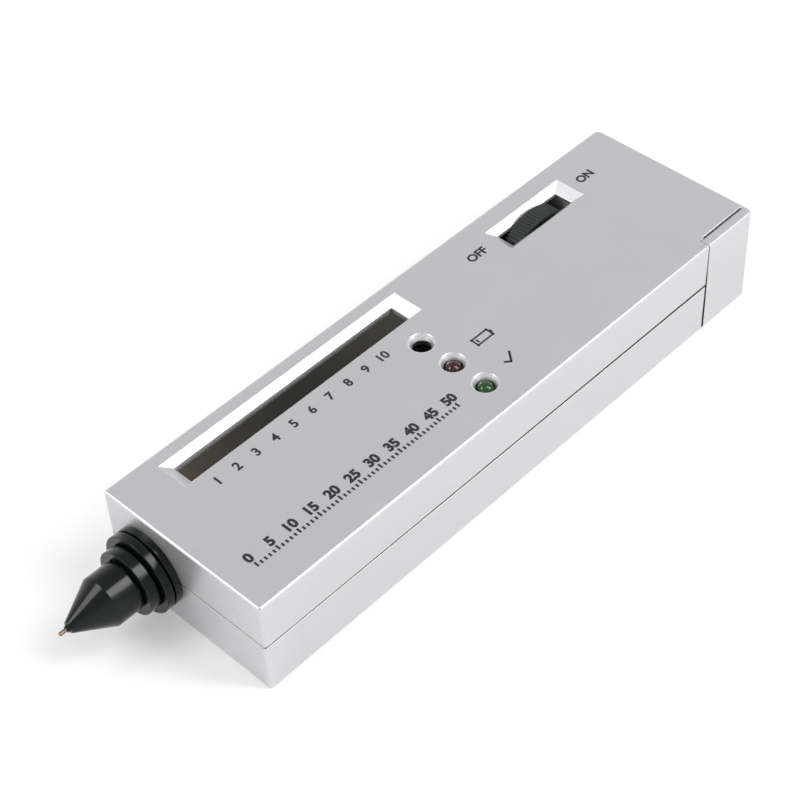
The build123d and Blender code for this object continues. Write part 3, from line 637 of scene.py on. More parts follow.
def case_skin(point):
    """Skin of the case at a place: 0 painted, 1 bare inside, 2 near black on a round hole's wall, as painted
    shade.
    """
    # Painted shade: the walls of the round holes below their countersinks are made near black
    if point.z < top_z - SINK_DEPTH and any((point.xy - hole).length < HOLE_SKIN for hole in hole_centres):
        return 2
    if point.z > top_z - RECESS_DEPTH:
        return 0
    inset_x = min(point.x - front_x, rear_x - point.x)
    inset_y = min(point.y - case_low.y, case_high.y - point.y)
    inset_z = point.z - case_low.z
    reach = Vector([max(CORNER_ROUND - inset, 0) for inset in (inset_x, inset_y, inset_z)])
    heel = inset_z < HEEL_ROUND and rear_x - point.x < HEEL_ROUND
    return 0 if CORNER_ROUND - reach.length < (HEEL_SKIN if heel else SKIN) else 1


class GEM_TESTER_OT_case(bpy.types.Operator):
    """Case halves and battery door: painted mouldings with soft edges, bare inside, and painted shade on the
    round holes' walls
    """
    bl_idname = "gem_tester.case"
    bl_label = "Case"

    # Lengths that tell one kind of edge from another
    sink_room = 2.9
    rim_room = 0.55
    door_length = 14.2
    seam_room = 0.7
    top_room = 0.1
    strip_room = 4.0
    slit_place = 2.6
    # Parts of the full softness
    sink_rim = 0.5
    slit_rim = 0.6
    bright_rim = 0.3
    moulded = 0.33
    # How far the edges along the parting line and the door's seam are drawn back
    parting_relief = 0.15
    seam_relief = 0.25

    def execute(self, context):
        edge = context.scene.gem_tester_case.edge / MM
        skins = [finish(silver_paint_on_moulded_abs), finish(bare_abs_with_overspray)]
        # Third skin: near black, painted shade on the round holes' walls
        skins.append(tinted(moulded_plastic, "in_shade"))
        for node_name, piece_name, body, share, shift in (
            ("top_shell", "upper_case", "root", self.upper_share, self.upper_shift),
            ("bottom_shell", "lower_case", "root", self.lower_share, None),
            ("battery_door", "rear_door", "door", self.door_share, self.door_shift),
        ):
            eased_copy(node_name, piece_name, edge, skins, body, share, case_skin, shift)
        return {"FINISHED"}

    def at_rim(self, point):
        """Whether a place is at the upper half's lower rim."""
        return abs(point.z - parting_z) < self.rim_room

    def at_seam(self, point):
        """Whether a place is at the seam in front of the door."""
        return abs(point.x - (rear_x - self.door_length)) < self.seam_room

    def upper_shift(self, point):
        """The rim drawn up, which opens the parting line."""
        return Vector((0, 0, self.parting_relief if self.at_rim(point) else 0))

    def door_shift(self, point):
        """The front edge of the near side drawn back, which opens the seam."""
        outer = point.y < case_low.y + self.strip_room and point.z < top_z - self.top_room
        return Vector((self.seam_relief if outer and self.at_seam(point) else 0, 0, 0))

    def upper_share(self, point):
        """Soft rims of the countersinks and the slit; sharp edges along the parting line and the door."""
        if self.at_rim(point):
            return 0.0
        if any((point.xy - hole).length < self.sink_room for hole in hole_centres):
            return self.sink_rim
        if abs(point.y - case_low.y - self.slit_place) < WELD and top_z - point.z < WELD:
            return self.slit_rim
        return self.door_share(point)

    def lower_share(self, point):
        """A thin bright line on the upper rim, below the dark parting line."""
        return self.bright_rim if self.at_rim(point) else self.door_share(point)

    def door_share(self, point):
        """Moulded edges, but a sharp seam beside the door."""
        return 0.0 if self.at_seam(point) else self.moulded


class GEM_TESTER_OT_window(bpy.types.Operator):
    """Smoked plate under the long recess, with polished edges"""
    bl_idname = "gem_tester.window"
    bl_label = "Window"

    polish = 0.15

    def execute(self, context):
        skins = [finish(smoked_cast_acrylic)]
        eased_copy("display_window", "smoked_plate", self.polish, skins)
        return {"FINISHED"}


class GEM_TESTER_OT_probe(bpy.types.Operator):
    """Collar with its rings, nose and pin, turned about the probe's axis"""
    bl_idname = "gem_tester.probe"
    bl_label = "Probe"

    # Steps of the collar from the front face forwards: length, radius
    collar_steps = ((1.4, 8.2), (0.4, 6.6), (1.65, 8.2), (0.35, 5.6), (2.3, 6.7), (0.4, 4.5), (5.0, 3.6))
    collar_bore = 1.68
    tail_length = 9.5
    tail_radius = 4.0
    lead_bore = 0.9
    nose_radius = 5.1
    nose_cylinder = 5.0
    nose_end_radius = 1.15
    nose_tip_radius = 0.68
    nose_tip_length = 0.5
    nose_bore = 3.65
    pin_bore = 0.48
    pin_round = 0.6
    stop_gap = 0.3
    spigot_gap = 0.1

    def execute(self, context):
        corner = context.scene.gem_tester_probe.corner / MM
        black = [finish(polished_black_abs)]
        centre = box("probe_collar").middle
        centre.x = 0

        x = front_x
        tail_x = x + self.tail_length
        spring_x = box("probe_spring").high.x
        outline = [(tail_x, self.lead_bore), (tail_x, self.tail_radius), (x, self.tail_radius)]
        for length, radius in self.collar_steps:
            outline += [(x, radius), (x - length, radius)]
            x -= length
        outline += [(x, self.collar_bore), (spring_x, self.collar_bore), (spring_x, self.lead_bore)]
        collar = turned("probe_rings", eased(outline, corner), centre, "X")
        attach(collar, "probe_collar", materials=black)

        foot_x = box("nose_cone").high.x
        tip_x = box("nose_cone").low.x
        end_x = tip_x + self.nose_tip_length
        stop_x = box("probe_heater").low.x - self.stop_gap
        inner_x = box("probe_collar").low.x - self.spigot_gap
        outline = [
            (foot_x, self.nose_bore), (foot_x, self.nose_radius),
            (foot_x - self.nose_cylinder, self.nose_radius), (end_x, self.nose_end_radius),
            (end_x, self.nose_tip_radius), (tip_x, self.nose_tip_radius),
            (tip_x, self.pin_bore), (stop_x, self.pin_bore),
            (stop_x, self.collar_bore), (inner_x, self.collar_bore), (inner_x, self.nose_bore),
        ]
        nose = turned("turned_nose", eased(outline, corner), centre, "X")
        attach(nose, "nose_cone", materials=black)

        pin = box("probe_tip")
        radius = pin.size.z / 2
        outline = [(pin.low.x, 0), (pin.low.x, radius), (pin.high.x, radius), (pin.high.x, 0)]
        wire = turned("copper_pin", eased(outline, self.pin_round * radius), centre, "X")
        attach(wire, "probe_tip", "tip", [finish(drawn_copper_wire)])
        return {"FINISHED"}


def rule_tree(name, inputs):
    """Geometry node tree with named inputs, and the sockets of its input node by name."""
    tree = bpy.data.node_groups.new(name, "GeometryNodeTree")
    for label, kind in inputs.items():
        tree.interface.new_socket(label, in_out="INPUT", socket_type="NodeSocket" + kind)
    tree.interface.new_socket("Geometry", in_out="OUTPUT", socket_type="NodeSocketGeometry")
    given = {socket.name: socket for socket in add_node(tree, "NodeGroupInput").outputs if socket.name}
    return tree, given


def close_rule(tree, geometry, material):
    """End a tree in real geometry that carries its material."""
    real = add_node(tree, "GeometryNodeRealizeInstances", {"Geometry": geometry}).outputs["Geometry"]
    painted = add_node(tree, "GeometryNodeSetMaterial", {"Geometry": real, "Material": material})
    add_node(tree, "NodeGroupOutput", {"Geometry": painted.outputs["Geometry"]})
    return tree


def grown(name, tree, values):
    """Plain piece that a geometry node tree gives for these values."""
    piece = plain_piece(name, bpy.data.meshes.new(name))
    modifier = piece.modifiers.new("rule", "NODES")
    modifier.node_group = tree
    for item in tree.interface.items_tree:
        if item.in_out == "INPUT":
            modifier[item.identifier] = values[item.name]
    return flattened(piece)


def rib_rule():
    """Ribs along the axis of a wheel: round-backed bars, evenly spaced."""
    tree, given = rule_tree("wheel_ribs", {
        "Ribs": "Int", "Radius": "Float", "Rib radius": "Float", "Width": "Float", "Centre": "Vector",
        "Material": "Material",
    })
    circle = add_node(tree, "GeometryNodeMeshCircle", {"Vertices": given["Ribs"], "Radius": given["Radius"]})
    bar = {"Vertices": RIB_STEPS, "Radius": given["Rib radius"], "Depth": given["Width"]}
    bar = add_node(tree, "GeometryNodeMeshCylinder", bar).outputs["Mesh"]
    ribs = {"Points": circle.outputs["Mesh"], "Instance": bar}
    ribs = add_node(tree, "GeometryNodeInstanceOnPoints", ribs).outputs["Instances"]
    placed = {"Geometry": ribs, "Translation": given["Centre"], "Rotation": (math.pi / 2, 0, 0)}
    placed = add_node(tree, "GeometryNodeTransform", placed).outputs["Geometry"]
    return close_rule(tree, placed, given["Material"])


class GEM_TESTER_OT_wheel(bpy.types.Operator):
    """Thumbwheel: a body with soft shoulders and ribs round its rim"""
    bl_idname = "gem_tester.wheel"
    bl_label = "Thumbwheel"

    screw_room = 2.9
    screw_depth = 1.0
    shaft_bore = 1.5
    shoulder = 0.35
    # Part of a rib's radius that stands clear of the body, and how far the ribs end before its sides
    rib_stand = 0.75
    rib_inset = 0.1

    def execute(self, context):
        settings = context.scene.gem_tester_wheel
        black = finish(satin_black_moulding)
        low, high, middle, size = box("thumbwheel")
        radius = size.z / 2
        rib = settings.rib / MM
        rim = radius - self.rib_stand * rib
        seat_y = low.y + self.screw_depth
        outline = [
            (low.y, self.screw_room), (low.y, rim), (high.y, rim), (high.y, self.shaft_bore),
            (seat_y, self.shaft_bore), (seat_y, self.screw_room),
        ]
        body = spun(eased(outline, self.shoulder), (middle.x, 0, middle.z), "Y")
        ribs = grown("wheel_ribs", rib_rule(), {
            "Ribs": settings.ribs,
            "Radius": (radius - rib) * MM,
            "Rib radius": settings.rib,
            "Width": (size.y - 2 * self.rib_inset) * MM,
            "Centre": middle * MM,
            "Material": black,
        })
        wheel = combined("ribbed_thumbwheel", [body, freed(ribs)])
        attach(wheel, "thumbwheel", "wheel", [black])
        return {"FINISHED"}


class GEM_TESTER_OT_lights(bpy.types.Operator):
    """Domed lights with their lead frames, and the bar behind the window"""
    bl_idname = "gem_tester.lights"
    bl_label = "Lights"

    flange_height = 1.0
    flange_lip = 0.3
    flange_round = 0.08
    dome_steps = 16
    bar_round = 0.2
    # The lead frame's two halves: side, half width of the head and its top above the light's foot
    heads = ((-1, 0.55, 3.3), (1, 0.34, 3.1))
    head_place = 0.72
    head_foot = 0.9
    leg_half = 0.25
    lead_round = 0.06

    def execute(self, context):
        settings = context.scene.gem_tester_lights
        for node_name, tint in (("low_battery_led", "red"), ("ready_led", "green")):
            self.domed(node_name, tint + "_light", getattr(settings, tint))
        for tint in ("green", "yellow", "red"):
            node_name = "bar_leds_" + tint
            skins = [finish(dyed_cast_epoxy, getattr(settings, tint), tag=f"_bar_{tint}_light")]
            eased_copy(node_name, node_name + "_bars", self.bar_round, skins)
        return {"FINISHED"}

    def domed(self, node_name, slot, colour):
        """One domed light: its dome, and its legs with the cup and the post inside the epoxy."""
        low, high, middle, size = box(node_name)
        base = box("led_spacers").high.z
        lip = base + self.flange_height
        flange = size.y / 2
        radius = flange - self.flange_lip
        round_z = high.z - radius
        outline = [(base, 0), (base, flange), (lip, flange), (lip, radius), (round_z, radius)]
        outline = eased(outline, self.flange_round)
        for step in range(1, self.dome_steps + 1):
            angle = math.pi / 2 * step / self.dome_steps
            outline.append((round_z + radius * math.sin(angle), radius * math.cos(angle)))
        dome = turned(node_name + "_dome", outline, (middle.x, middle.y, 0), "Z")
        attach(dome, node_name, materials=[finish(dyed_cast_epoxy, colour, tag="_" + slot)])

        shape = bmesh.new()
        for side, head_half, head_top in self.heads:
            for place, half, z0, z1 in (
                (LEG_PLACE, self.leg_half, low.z, lip),
                (self.head_place, head_half, base + self.head_foot, base + head_top),
            ):
                centre = (middle.x + side * place, middle.y, (z0 + z1) / 2)
                add_block(shape, centre, (2 * half, 2 * self.leg_half, z1 - z0))
        rounding = self.lead_round * MM
        bmesh.ops.bevel(shape, geom=shape.edges[:], offset=rounding, segments=2, affect="EDGES", profile=0.5)
        leads = plain_piece(node_name + "_lead_frame", mesh_from(shape))
        attach(leads, materials=[tinted(plated_metal, "tinned")])


def printed_text(words, place, height, thickness, weight):
    """Mesh of printed words of that height, centred along the case at a place on the top face."""
    curve = bpy.data.curves.new("words", "FONT")
    curve.body = words
    curve.extrude = 0.5
    curve.offset = weight
    curve.resolution_u = 6
    mesh = freed(flattened(plain_piece("words", curve)))
    xs = [vertex.co.x for vertex in mesh.vertices]
    ys = [vertex.co.y for vertex in mesh.vertices]
    size = height / (max(ys) - min(ys))
    centred = Matrix.Translation((-(min(xs) + max(xs)) / 2, -min(ys), 0))
    scale = Matrix.Diagonal((size, size, thickness, 1))
    placed = Matrix.Translation((*place, top_z + thickness / 2))
    mesh.transform(Matrix.Scale(MM, 4) @ placed @ scale @ centred)
    return mesh


def ruler_rule():
    """Row of printed strokes, of which some are longer."""
    tree, given = rule_tree("ruler_strokes", {
        "Strokes": "Int", "Pitch": "Float", "Line": "Float", "Short": "Float", "Long": "Float",
        "Every": "Int", "Thickness": "Float", "Start": "Vector", "Material": "Material",
    })
    step = add_node(tree, "ShaderNodeCombineXYZ", {"X": given["Pitch"]}).outputs["Vector"]
    row = {"Count": given["Strokes"], "Start Location": given["Start"], "Offset": step}
    row = add_node(tree, "GeometryNodeMeshLine", row).outputs["Mesh"]
    index = add_node(tree, "GeometryNodeInputIndex").outputs["Index"]
    rest = add_node(tree, "FunctionNodeIntegerMath", {0: index, 1: given["Every"]}, operation="MODULO")
    hit = {"A": rest.outputs["Value"], "B": 0}
    hit = add_node(tree, "FunctionNodeCompare", hit, data_type="INT", operation="EQUAL").outputs["Result"]
    length = {"Switch": hit, "False": given["Short"], "True": given["Long"]}
    length = shown(add_node(tree, "GeometryNodeSwitch", length, input_type="FLOAT").outputs, "Output")
    size = {"X": given["Line"], "Y": length, "Z": given["Thickness"]}
    size = add_node(tree, "ShaderNodeCombineXYZ", size).outputs["Vector"]
    cube = add_node(tree, "GeometryNodeMeshCube", {"Size": (1, 1, 1)}).outputs["Mesh"]
    raised = add_node(tree, "GeometryNodeTransform", {"Geometry": cube, "Translation": (0, 0.5, 0.5)})
    strokes = {"Points": row, "Instance": raised.outputs["Geometry"], "Scale": size}
    strokes = add_node(tree, "GeometryNodeInstanceOnPoints", strokes).outputs["Instances"]
    return close_rule(tree, strokes, given["Material"])


class GEM_TESTER_OT_printing(bpy.types.Operator):
    """Printing on the top face: switch words, a numbered scale, two signs and a ruler"""
    bl_idname = "gem_tester.printing"
    bl_label = "Printing"

    # Middle and foot of the printed words, and how much bolder than the font each kind is
    switch_words = {"OFF": (21.8, 11.4), "ON": (53.85, 11.05)}
    word_height = 2.1
    word_weight = 0.035
    scale_weight = 0.028
    ruler_weight = 0.05
    # The light bar behind the numbered scale
    lights = 12
    holder_wall = 0.6
    scale_numbers = 10
    scale_gap = 2.3
    ruler_start = (-61.0, -13.0)
    ruler_lines = 51
    ruler_line = 0.42
    ruler_short = 0.8
    ruler_long = 1.2
    ruler_every = 5
    ruler_digit = 2.3
    ruler_digit_foot = 1.5
    # Corners of the signs, and how wide their strokes are
    battery = ((2.9, -5.05), (7.3, -2.9))
    battery_stroke = 0.36
    tick = ((2.9, -11.46), (3.872, -12.3), (5.6, -10.2))
    tick_stroke = 0.468

    def execute(self, context):
        settings = context.scene.gem_tester_print
        self.thickness = settings.thickness / MM
        self.ink = [finish(screen_printed_ink)]
        for words, place in self.switch_words.items():
            mesh = printed_text(words, place, self.word_height, self.thickness, self.word_weight)
            attach(plain_piece("print_" + words.lower(), mesh), materials=self.ink)
        self.number_scale()
        self.ruler()
        self.signs()
        return {"FINISHED"}

    def number_scale(self):
        """Plain numbers under the window, one for each of the first ten lights of the bar."""
        holder = box("bar_holder")
        pitch = (holder.size.x - 2 * self.holder_wall) / self.lights
        foot = window.low.y - self.scale_gap - self.word_height
        numbers = []
        for index in range(self.scale_numbers):
            place = (holder.low.x + self.holder_wall + (index + 0.5) * pitch, foot)
            text = str(index + 1)
            numbers.append(printed_text(text, place, self.word_height, self.thickness, self.scale_weight))
        attach(combined("print_scale", numbers), materials=self.ink)

    def ruler(self):
        """Bold ruler along the near edge: a stroke each millimetre and a number every fifth."""
        x, y = self.ruler_start
        lines = grown("print_ruler_lines", ruler_rule(), {
            "Strokes": self.ruler_lines,
            "Pitch": MM,
            "Line": self.ruler_line * MM,
            "Short": self.ruler_short * MM,
            "Long": self.ruler_long * MM,
            "Every": self.ruler_every,
            "Thickness": self.thickness * MM,
            "Start": (x * MM, y * MM, top_z * MM),
            "Material": self.ink[0],
        })
        meshes = [freed(lines)]
        for value in range(0, self.ruler_lines, self.ruler_every):
            text = str(value)
            place = (x + value, y + self.ruler_digit_foot)
            meshes.append(printed_text(text, place, self.ruler_digit, self.thickness, self.ruler_weight))
        attach(combined("print_ruler", meshes), materials=self.ink)

    def signs(self):
        """A battery outline beside the red light and a tick beside the green one."""
        half = self.battery_stroke / 2
        (x0, y0), (x1, y1) = self.battery
        middle = (y0 + y1) / 2
        charge_x = x0 + 5 * half
        inset = 4 * half
        self.strokes("print_battery", self.battery_stroke, [
            ((x0, y0 + half), (x1, y0 + half)), ((x0, y1 - half), (x1, y1 - half)),
            ((x0 + half, y0), (x0 + half, y1)), ((x1 - half, y0), (x1 - half, y1)),
            ((x1 + half, middle - 2 * half), (x1 + half, middle + 2 * half)),
            ((charge_x, y0 + inset), (charge_x, y1 - inset)),
        ])
        self.strokes("print_tick", self.tick_stroke, zip(self.tick, self.tick[1:]))

    def strokes(self, name, width, bars):
        """Printed bars of one width, from the two ends of each."""
        shape = bmesh.new()
        for start, end in bars:
            along = Vector(end) - Vector(start)
            centre = (*(Vector(start) + along / 2), top_z + self.thickness / 2)
            size = (along.length + width / 2, width, self.thickness)
            add_block(shape, centre, size, math.atan2(along.y, along.x))
        attach(plain_piece(name, mesh_from(shape)), materials=self.ink)


def copies_rule():
    """Copies of one object at the points of another."""
    tree, given = rule_tree("copies", {"Places": "Object", "Source": "Object", "Material": "Material"})
    points = add_node(tree, "GeometryNodeObjectInfo", {"Object": given["Places"]}).outputs["Geometry"]
    source = add_node(tree, "GeometryNodeObjectInfo", {"Object": given["Source"]}).outputs["Geometry"]
    copies = add_node(tree, "GeometryNodeInstanceOnPoints", {"Points": points, "Instance": source})
    return close_rule(tree, copies.outputs["Instances"], given["Material"])


def repeated(name, mesh, places, material, node_name=None):
    """One piece made of copies of a mesh, whose origin comes to each place."""
    spots = bpy.data.meshes.new(name)
    spots.from_pydata([Vector(place) * MM for place in places], [], [])
    spares = [plain_piece(name + "_places", spots), plain_piece(name + "_source", mesh)]
    rule = bpy.data.node_groups.get("copies") or copies_rule()
    piece = grown(name, rule, {"Places": spares[0], "Source": spares[1], "Material": material})
    for spare in spares:
        bpy.data.objects.remove(spare)
    return attach(piece, node_name)


class GEM_TESTER_OT_screws(bpy.types.Operator):
    """Case and board screws with cross recesses and cut threads"""
    bl_idname = "gem_tester.screws"
    bl_label = "Screws"

    # Radius and height of the head, radius of the shank, length over all, and the way that it points
    case_screw = (2.4, 1.7, 1.15, 14.0, 1)
    board_screw = (2.1, 1.4, 1.0, 6.4, -1)
    # Outline of the head: parts of its height and of its radius
    head_outline = ((0, 0), (0, 0.7), (0.12, 0.88), (0.45, 1), (1, 1))
    # One turn of the thread: parts of the pitch and of its depth
    thread_outline = ((0, 0), (0.3, 1), (0.7, 1))
    pitch = 0.8
    thread_depth = 0.24
    plain_neck = 0.6
    plain_end = 1.4
    point = 0.5
    point_taper = 0.6
    # The cross recess: its depth below the head's face, and where its cutter starts above it
    recess_depth = 0.9
    recess_start = -0.2
    recess_half = 1.3
    recess_bar = 0.3
    recess_taper = 0.6
    steps = 40
    # From the board's rear end to the middle screws of the case
    board_gap = 3.5

    def execute(self, context):
        zinc = tinted(plated_metal, "zinc")
        middle = box("main_board").high.x + self.board_gap
        x0, x1, y0, y1, z = self.corners("case_screws", self.case_screw)
        places = [(x0, y0, z), (middle, y0, z), (middle, y1, z), (x1, y1, z)]
        repeated("cross_case_screws", self.screw(*self.case_screw), places, zinc, "case_screws")
        x0, x1, y0, y1, z = self.corners("board_screws", self.board_screw)
        places = [(x0, y0, z), (x1, y0, z), (x0, y1, z)]
        repeated("cross_board_screws", self.screw(*self.board_screw), places, zinc, "board_screws")
        return {"FINISHED"}

    def corners(self, node_name, sizes):
        """Axes of the outermost screws of a node, and the height of the faces of their heads."""
        screws = box(node_name)
        head, side = sizes[0], sizes[-1]
        low, high = screws.low, screws.high
        return low.x + head, high.x - head, low.y + head, high.y - head, low.z if side > 0 else high.z

    def screw(self, head, head_height, shank, length, side):
        """Mesh of one screw with the face of its head at the origin."""
        outline = [(along * head_height, around * head) for along, around in self.head_outline]
        outline.append((head_height, shank))
        turn = head_height + self.plain_neck
        while turn < length - self.plain_end:
            for along, depth in self.thread_outline:
                outline.append((turn + along * self.pitch, shank - depth * self.thread_depth))
            turn += self.pitch
        outline += [(turn, shank), (length - self.point, self.point_taper * shank), (length, 0)]
        outline = [(side * along, radius) for along, radius in outline]
        body = plain_piece("screw", spun(outline, steps=self.steps))
        half, bar = self.recess_half, self.recess_bar
        cross = [(half, bar), (bar, bar), (bar, half), (-bar, half), (-bar, bar), (-half, bar)]
        cross += [(-x, -y) for x, y in cross]
        rings = []
        for depth, taper in ((self.recess_start, 1.0), (self.recess_depth, self.recess_taper)):
            rings.append([(x * taper, y * taper, side * depth) for x, y in cross])
        cutter = plain_piece("cutter", lofted(rings))
        recess = body.modifiers.new("recess", "BOOLEAN")
        recess.object = cutter
        recess.solver = "EXACT"
        mesh = freed(flattened(body))
        bpy.data.objects.remove(cutter)
        return mesh


class GEM_TESTER_OT_board(bpy.types.Operator):
    """Circuit board and what stands on it"""
    bl_idname = "gem_tester.board"
    bl_label = "Board"

    # Evenly spaced places of the cans along the board, of which one is left empty
    can_places = (0, 1, 3)
    resistor_count = 6
    # Outlines: along the axis, radius
    can_sleeve = (
        (0, 0), (0, 2.3), (0.2, 2.5), (0.8, 2.5), (1.1, 2.3), (1.4, 2.5), (6.6, 2.5), (6.95, 2.3),
        (6.95, 2.05), (6.8, 2.0), (6.8, 0),
    )
    can_top = ((6.75, 0), (6.75, 2.02), (6.9, 2.02), (6.97, 1.9), (6.97, 0))
    resistor_end = ((1.6, 0.9), (2.0, 1.08), (2.8, 1.08), (3.05, 0.8), (3.15, 0.3), (3.15, 0))
    chip_mark = ((0, 0), (0, 0.32), (0.02, 0.32), (0.02, 0))
    joint = ((0, 0), (0, 0.62), (0.1, 0.55), (0.28, 0.32), (0.5, 0.24), (0.5, 0))
    # Colour bands of a resistor: place along it, radius, colour
    bands = ((-2.4, 1.08, "#5a3216"), (-0.9, 0.9, "#131313"), (0.1, 0.9, "#a3201a"), (2.4, 1.08, "#b08a35"))
    band_half = 0.25
    band_depth = 0.1
    band_coat = 0.02
    band_roughness = 0.35
    resistor_radius = 1.1
    wire_radius = 0.25
    # A chip's pin, seen along the chip
    pin_path = (
        (2.15, 0.83), (2.65, 0.83), (2.65, 0.15), (3.1, 0.15), (3.1, 0), (2.5, 0), (2.5, 0.68), (2.15, 0.68),
    )
    pin_spacing = 1.27
    pin_half = 0.2
    chip_round = 0.2
    mark_inset = 0.8
    # The buzzer's chamfer, and the radius and depth of its port
    buzzer_edge = 0.25
    port_radius = 1.0
    port_depth = 1.2
    # Walls of the groove round the port: outer in parts of the buzzer's radius, inner of the port's
    groove_outer = (0.6, 0.56)
    groove_inner = (1.3, 1.2)

    def execute(self, context):
        self.board_top = box("main_board").high.z
        self.black = tinted(moulded_plastic, "black")
        self.tin = tinted(plated_metal, "tinned")
        dress("main_board", finish(solder_masked_glass_epoxy))
        self.cans()
        legs = self.resistors()
        self.chips()
        self.sounder()
        for x, y in hole_centres[:2]:
            legs += [(x + side * LEG_PLACE, y, self.board_top) for side in (-1, 1)]
        repeated("solder_joints", spun(self.joint, steps=20), legs, self.tin)
        return {"FINISHED"}

    def cans(self):
        """Three sleeved cans with bare tops."""
        low, high, middle, size = box("capacitors")
        radius = size.y / 2
        pitch = (size.x - 2 * radius) / self.can_places[-1]
        places = [(low.x + radius + step * pitch, middle.y, self.board_top) for step in self.can_places]
        sleeve = tinted(moulded_plastic, "sleeve")
        bare = tinted(plated_metal, "drawn_aluminium")
        repeated("can_sleeves", spun(self.can_sleeve, steps=48), places, sleeve, "capacitors")
        repeated("can_tops", spun(self.can_top, steps=48), places, bare)

    def resistors(self):
        """Six banded resistors; gives the places of their legs."""
        low, high, middle, size = box("resistors")
        radius = self.resistor_radius
        pitch = (size.y - 2 * radius) / (self.resistor_count - 1)
        rows = [low.y + radius + index * pitch for index in range(self.resistor_count)]
        places = [(middle.x, y, high.z - radius) for y in rows]
        outline = [(-along, around) for along, around in reversed(self.resistor_end)]
        body = spun(outline + list(self.resistor_end), axis="X", steps=32)
        tan = tinted(moulded_plastic, "tan")
        repeated("resistor_bodies", body, places, tan, "resistors")
        for number, (along, around, code) in enumerate(self.bands):
            start, end = along - self.band_half, along + self.band_half
            inner, outer = around - self.band_depth, around + self.band_coat
            ring = [(start, inner), (start, outer), (end, outer), (end, inner)]
            name = f"resistor_band_{number + 1}"
            paint = finish(moulded_plastic, linear(code), self.band_roughness, tag="_" + name)
            repeated(name + "s", spun(ring, axis="X", steps=32), places, paint)
        reach = size.x / 2 - self.wire_radius
        drop = self.board_top - high.z + radius
        path = [(-reach, 0, drop), (-reach, 0, 0), (reach, 0, 0), (reach, 0, drop)]
        repeated("resistor_wires", bent_wire(path, self.wire_radius), places, self.tin)
        return [(x + side * reach, y, self.board_top) for x, y, z in places for side in (-1, 1)]

    def chips(self):
        """Two chips with bent pins and a mark at the first pin."""
        pins = []
        marks = []
        for node_name, piece_name in (("amplifier_chip", "small_chip"), ("driver_chip", "large_chip")):
            low, high, middle, size = box(node_name)
            eased_copy(node_name, piece_name, self.chip_round, [self.black])
            for index in range(round(size.x / self.pin_spacing)):
                pins.append((low.x + (index + 0.5) * self.pin_spacing, middle.y, self.board_top))
            marks.append((low.x + self.mark_inset, low.y + self.mark_inset, high.z))
        sides = []
        for side in (-1, 1):
            ends = (-self.pin_half, self.pin_half)
            sides.append(lofted([[(x, side * y, z) for y, z in self.pin_path] for x in ends]))
        repeated("bent_pins", freed(combined("pin_pair", sides)), pins, self.tin, "chip_pins")
        repeated("chip_marks", spun(self.chip_mark, steps=24), marks, tinted(moulded_plastic, "marking"))

    def sounder(self):
        """Buzzer with a stepped top and its port."""
        buzzer = box("buzzer")
        radius = buzzer.size.x / 2
        top = buzzer.size.z
        edge, port, floor = self.buzzer_edge, self.port_radius, top - self.port_depth
        step = top - edge
        outline = [(0, 0), (0, radius - edge), (edge, radius), (step, radius), (top, radius - edge)]
        outer = [share * radius for share in self.groove_outer]
        inner = [share * port for share in self.groove_inner]
        outline += [(top, outer[0]), (step, outer[1]), (step, inner[0]), (top, inner[1])]
        outline += [(top, port), (floor, port), (floor, 0)]
        can = plain_piece("round_buzzer", spun(outline, (*buzzer.middle.xy, self.board_top), steps=64))
        attach(can, "buzzer", materials=[self.black])


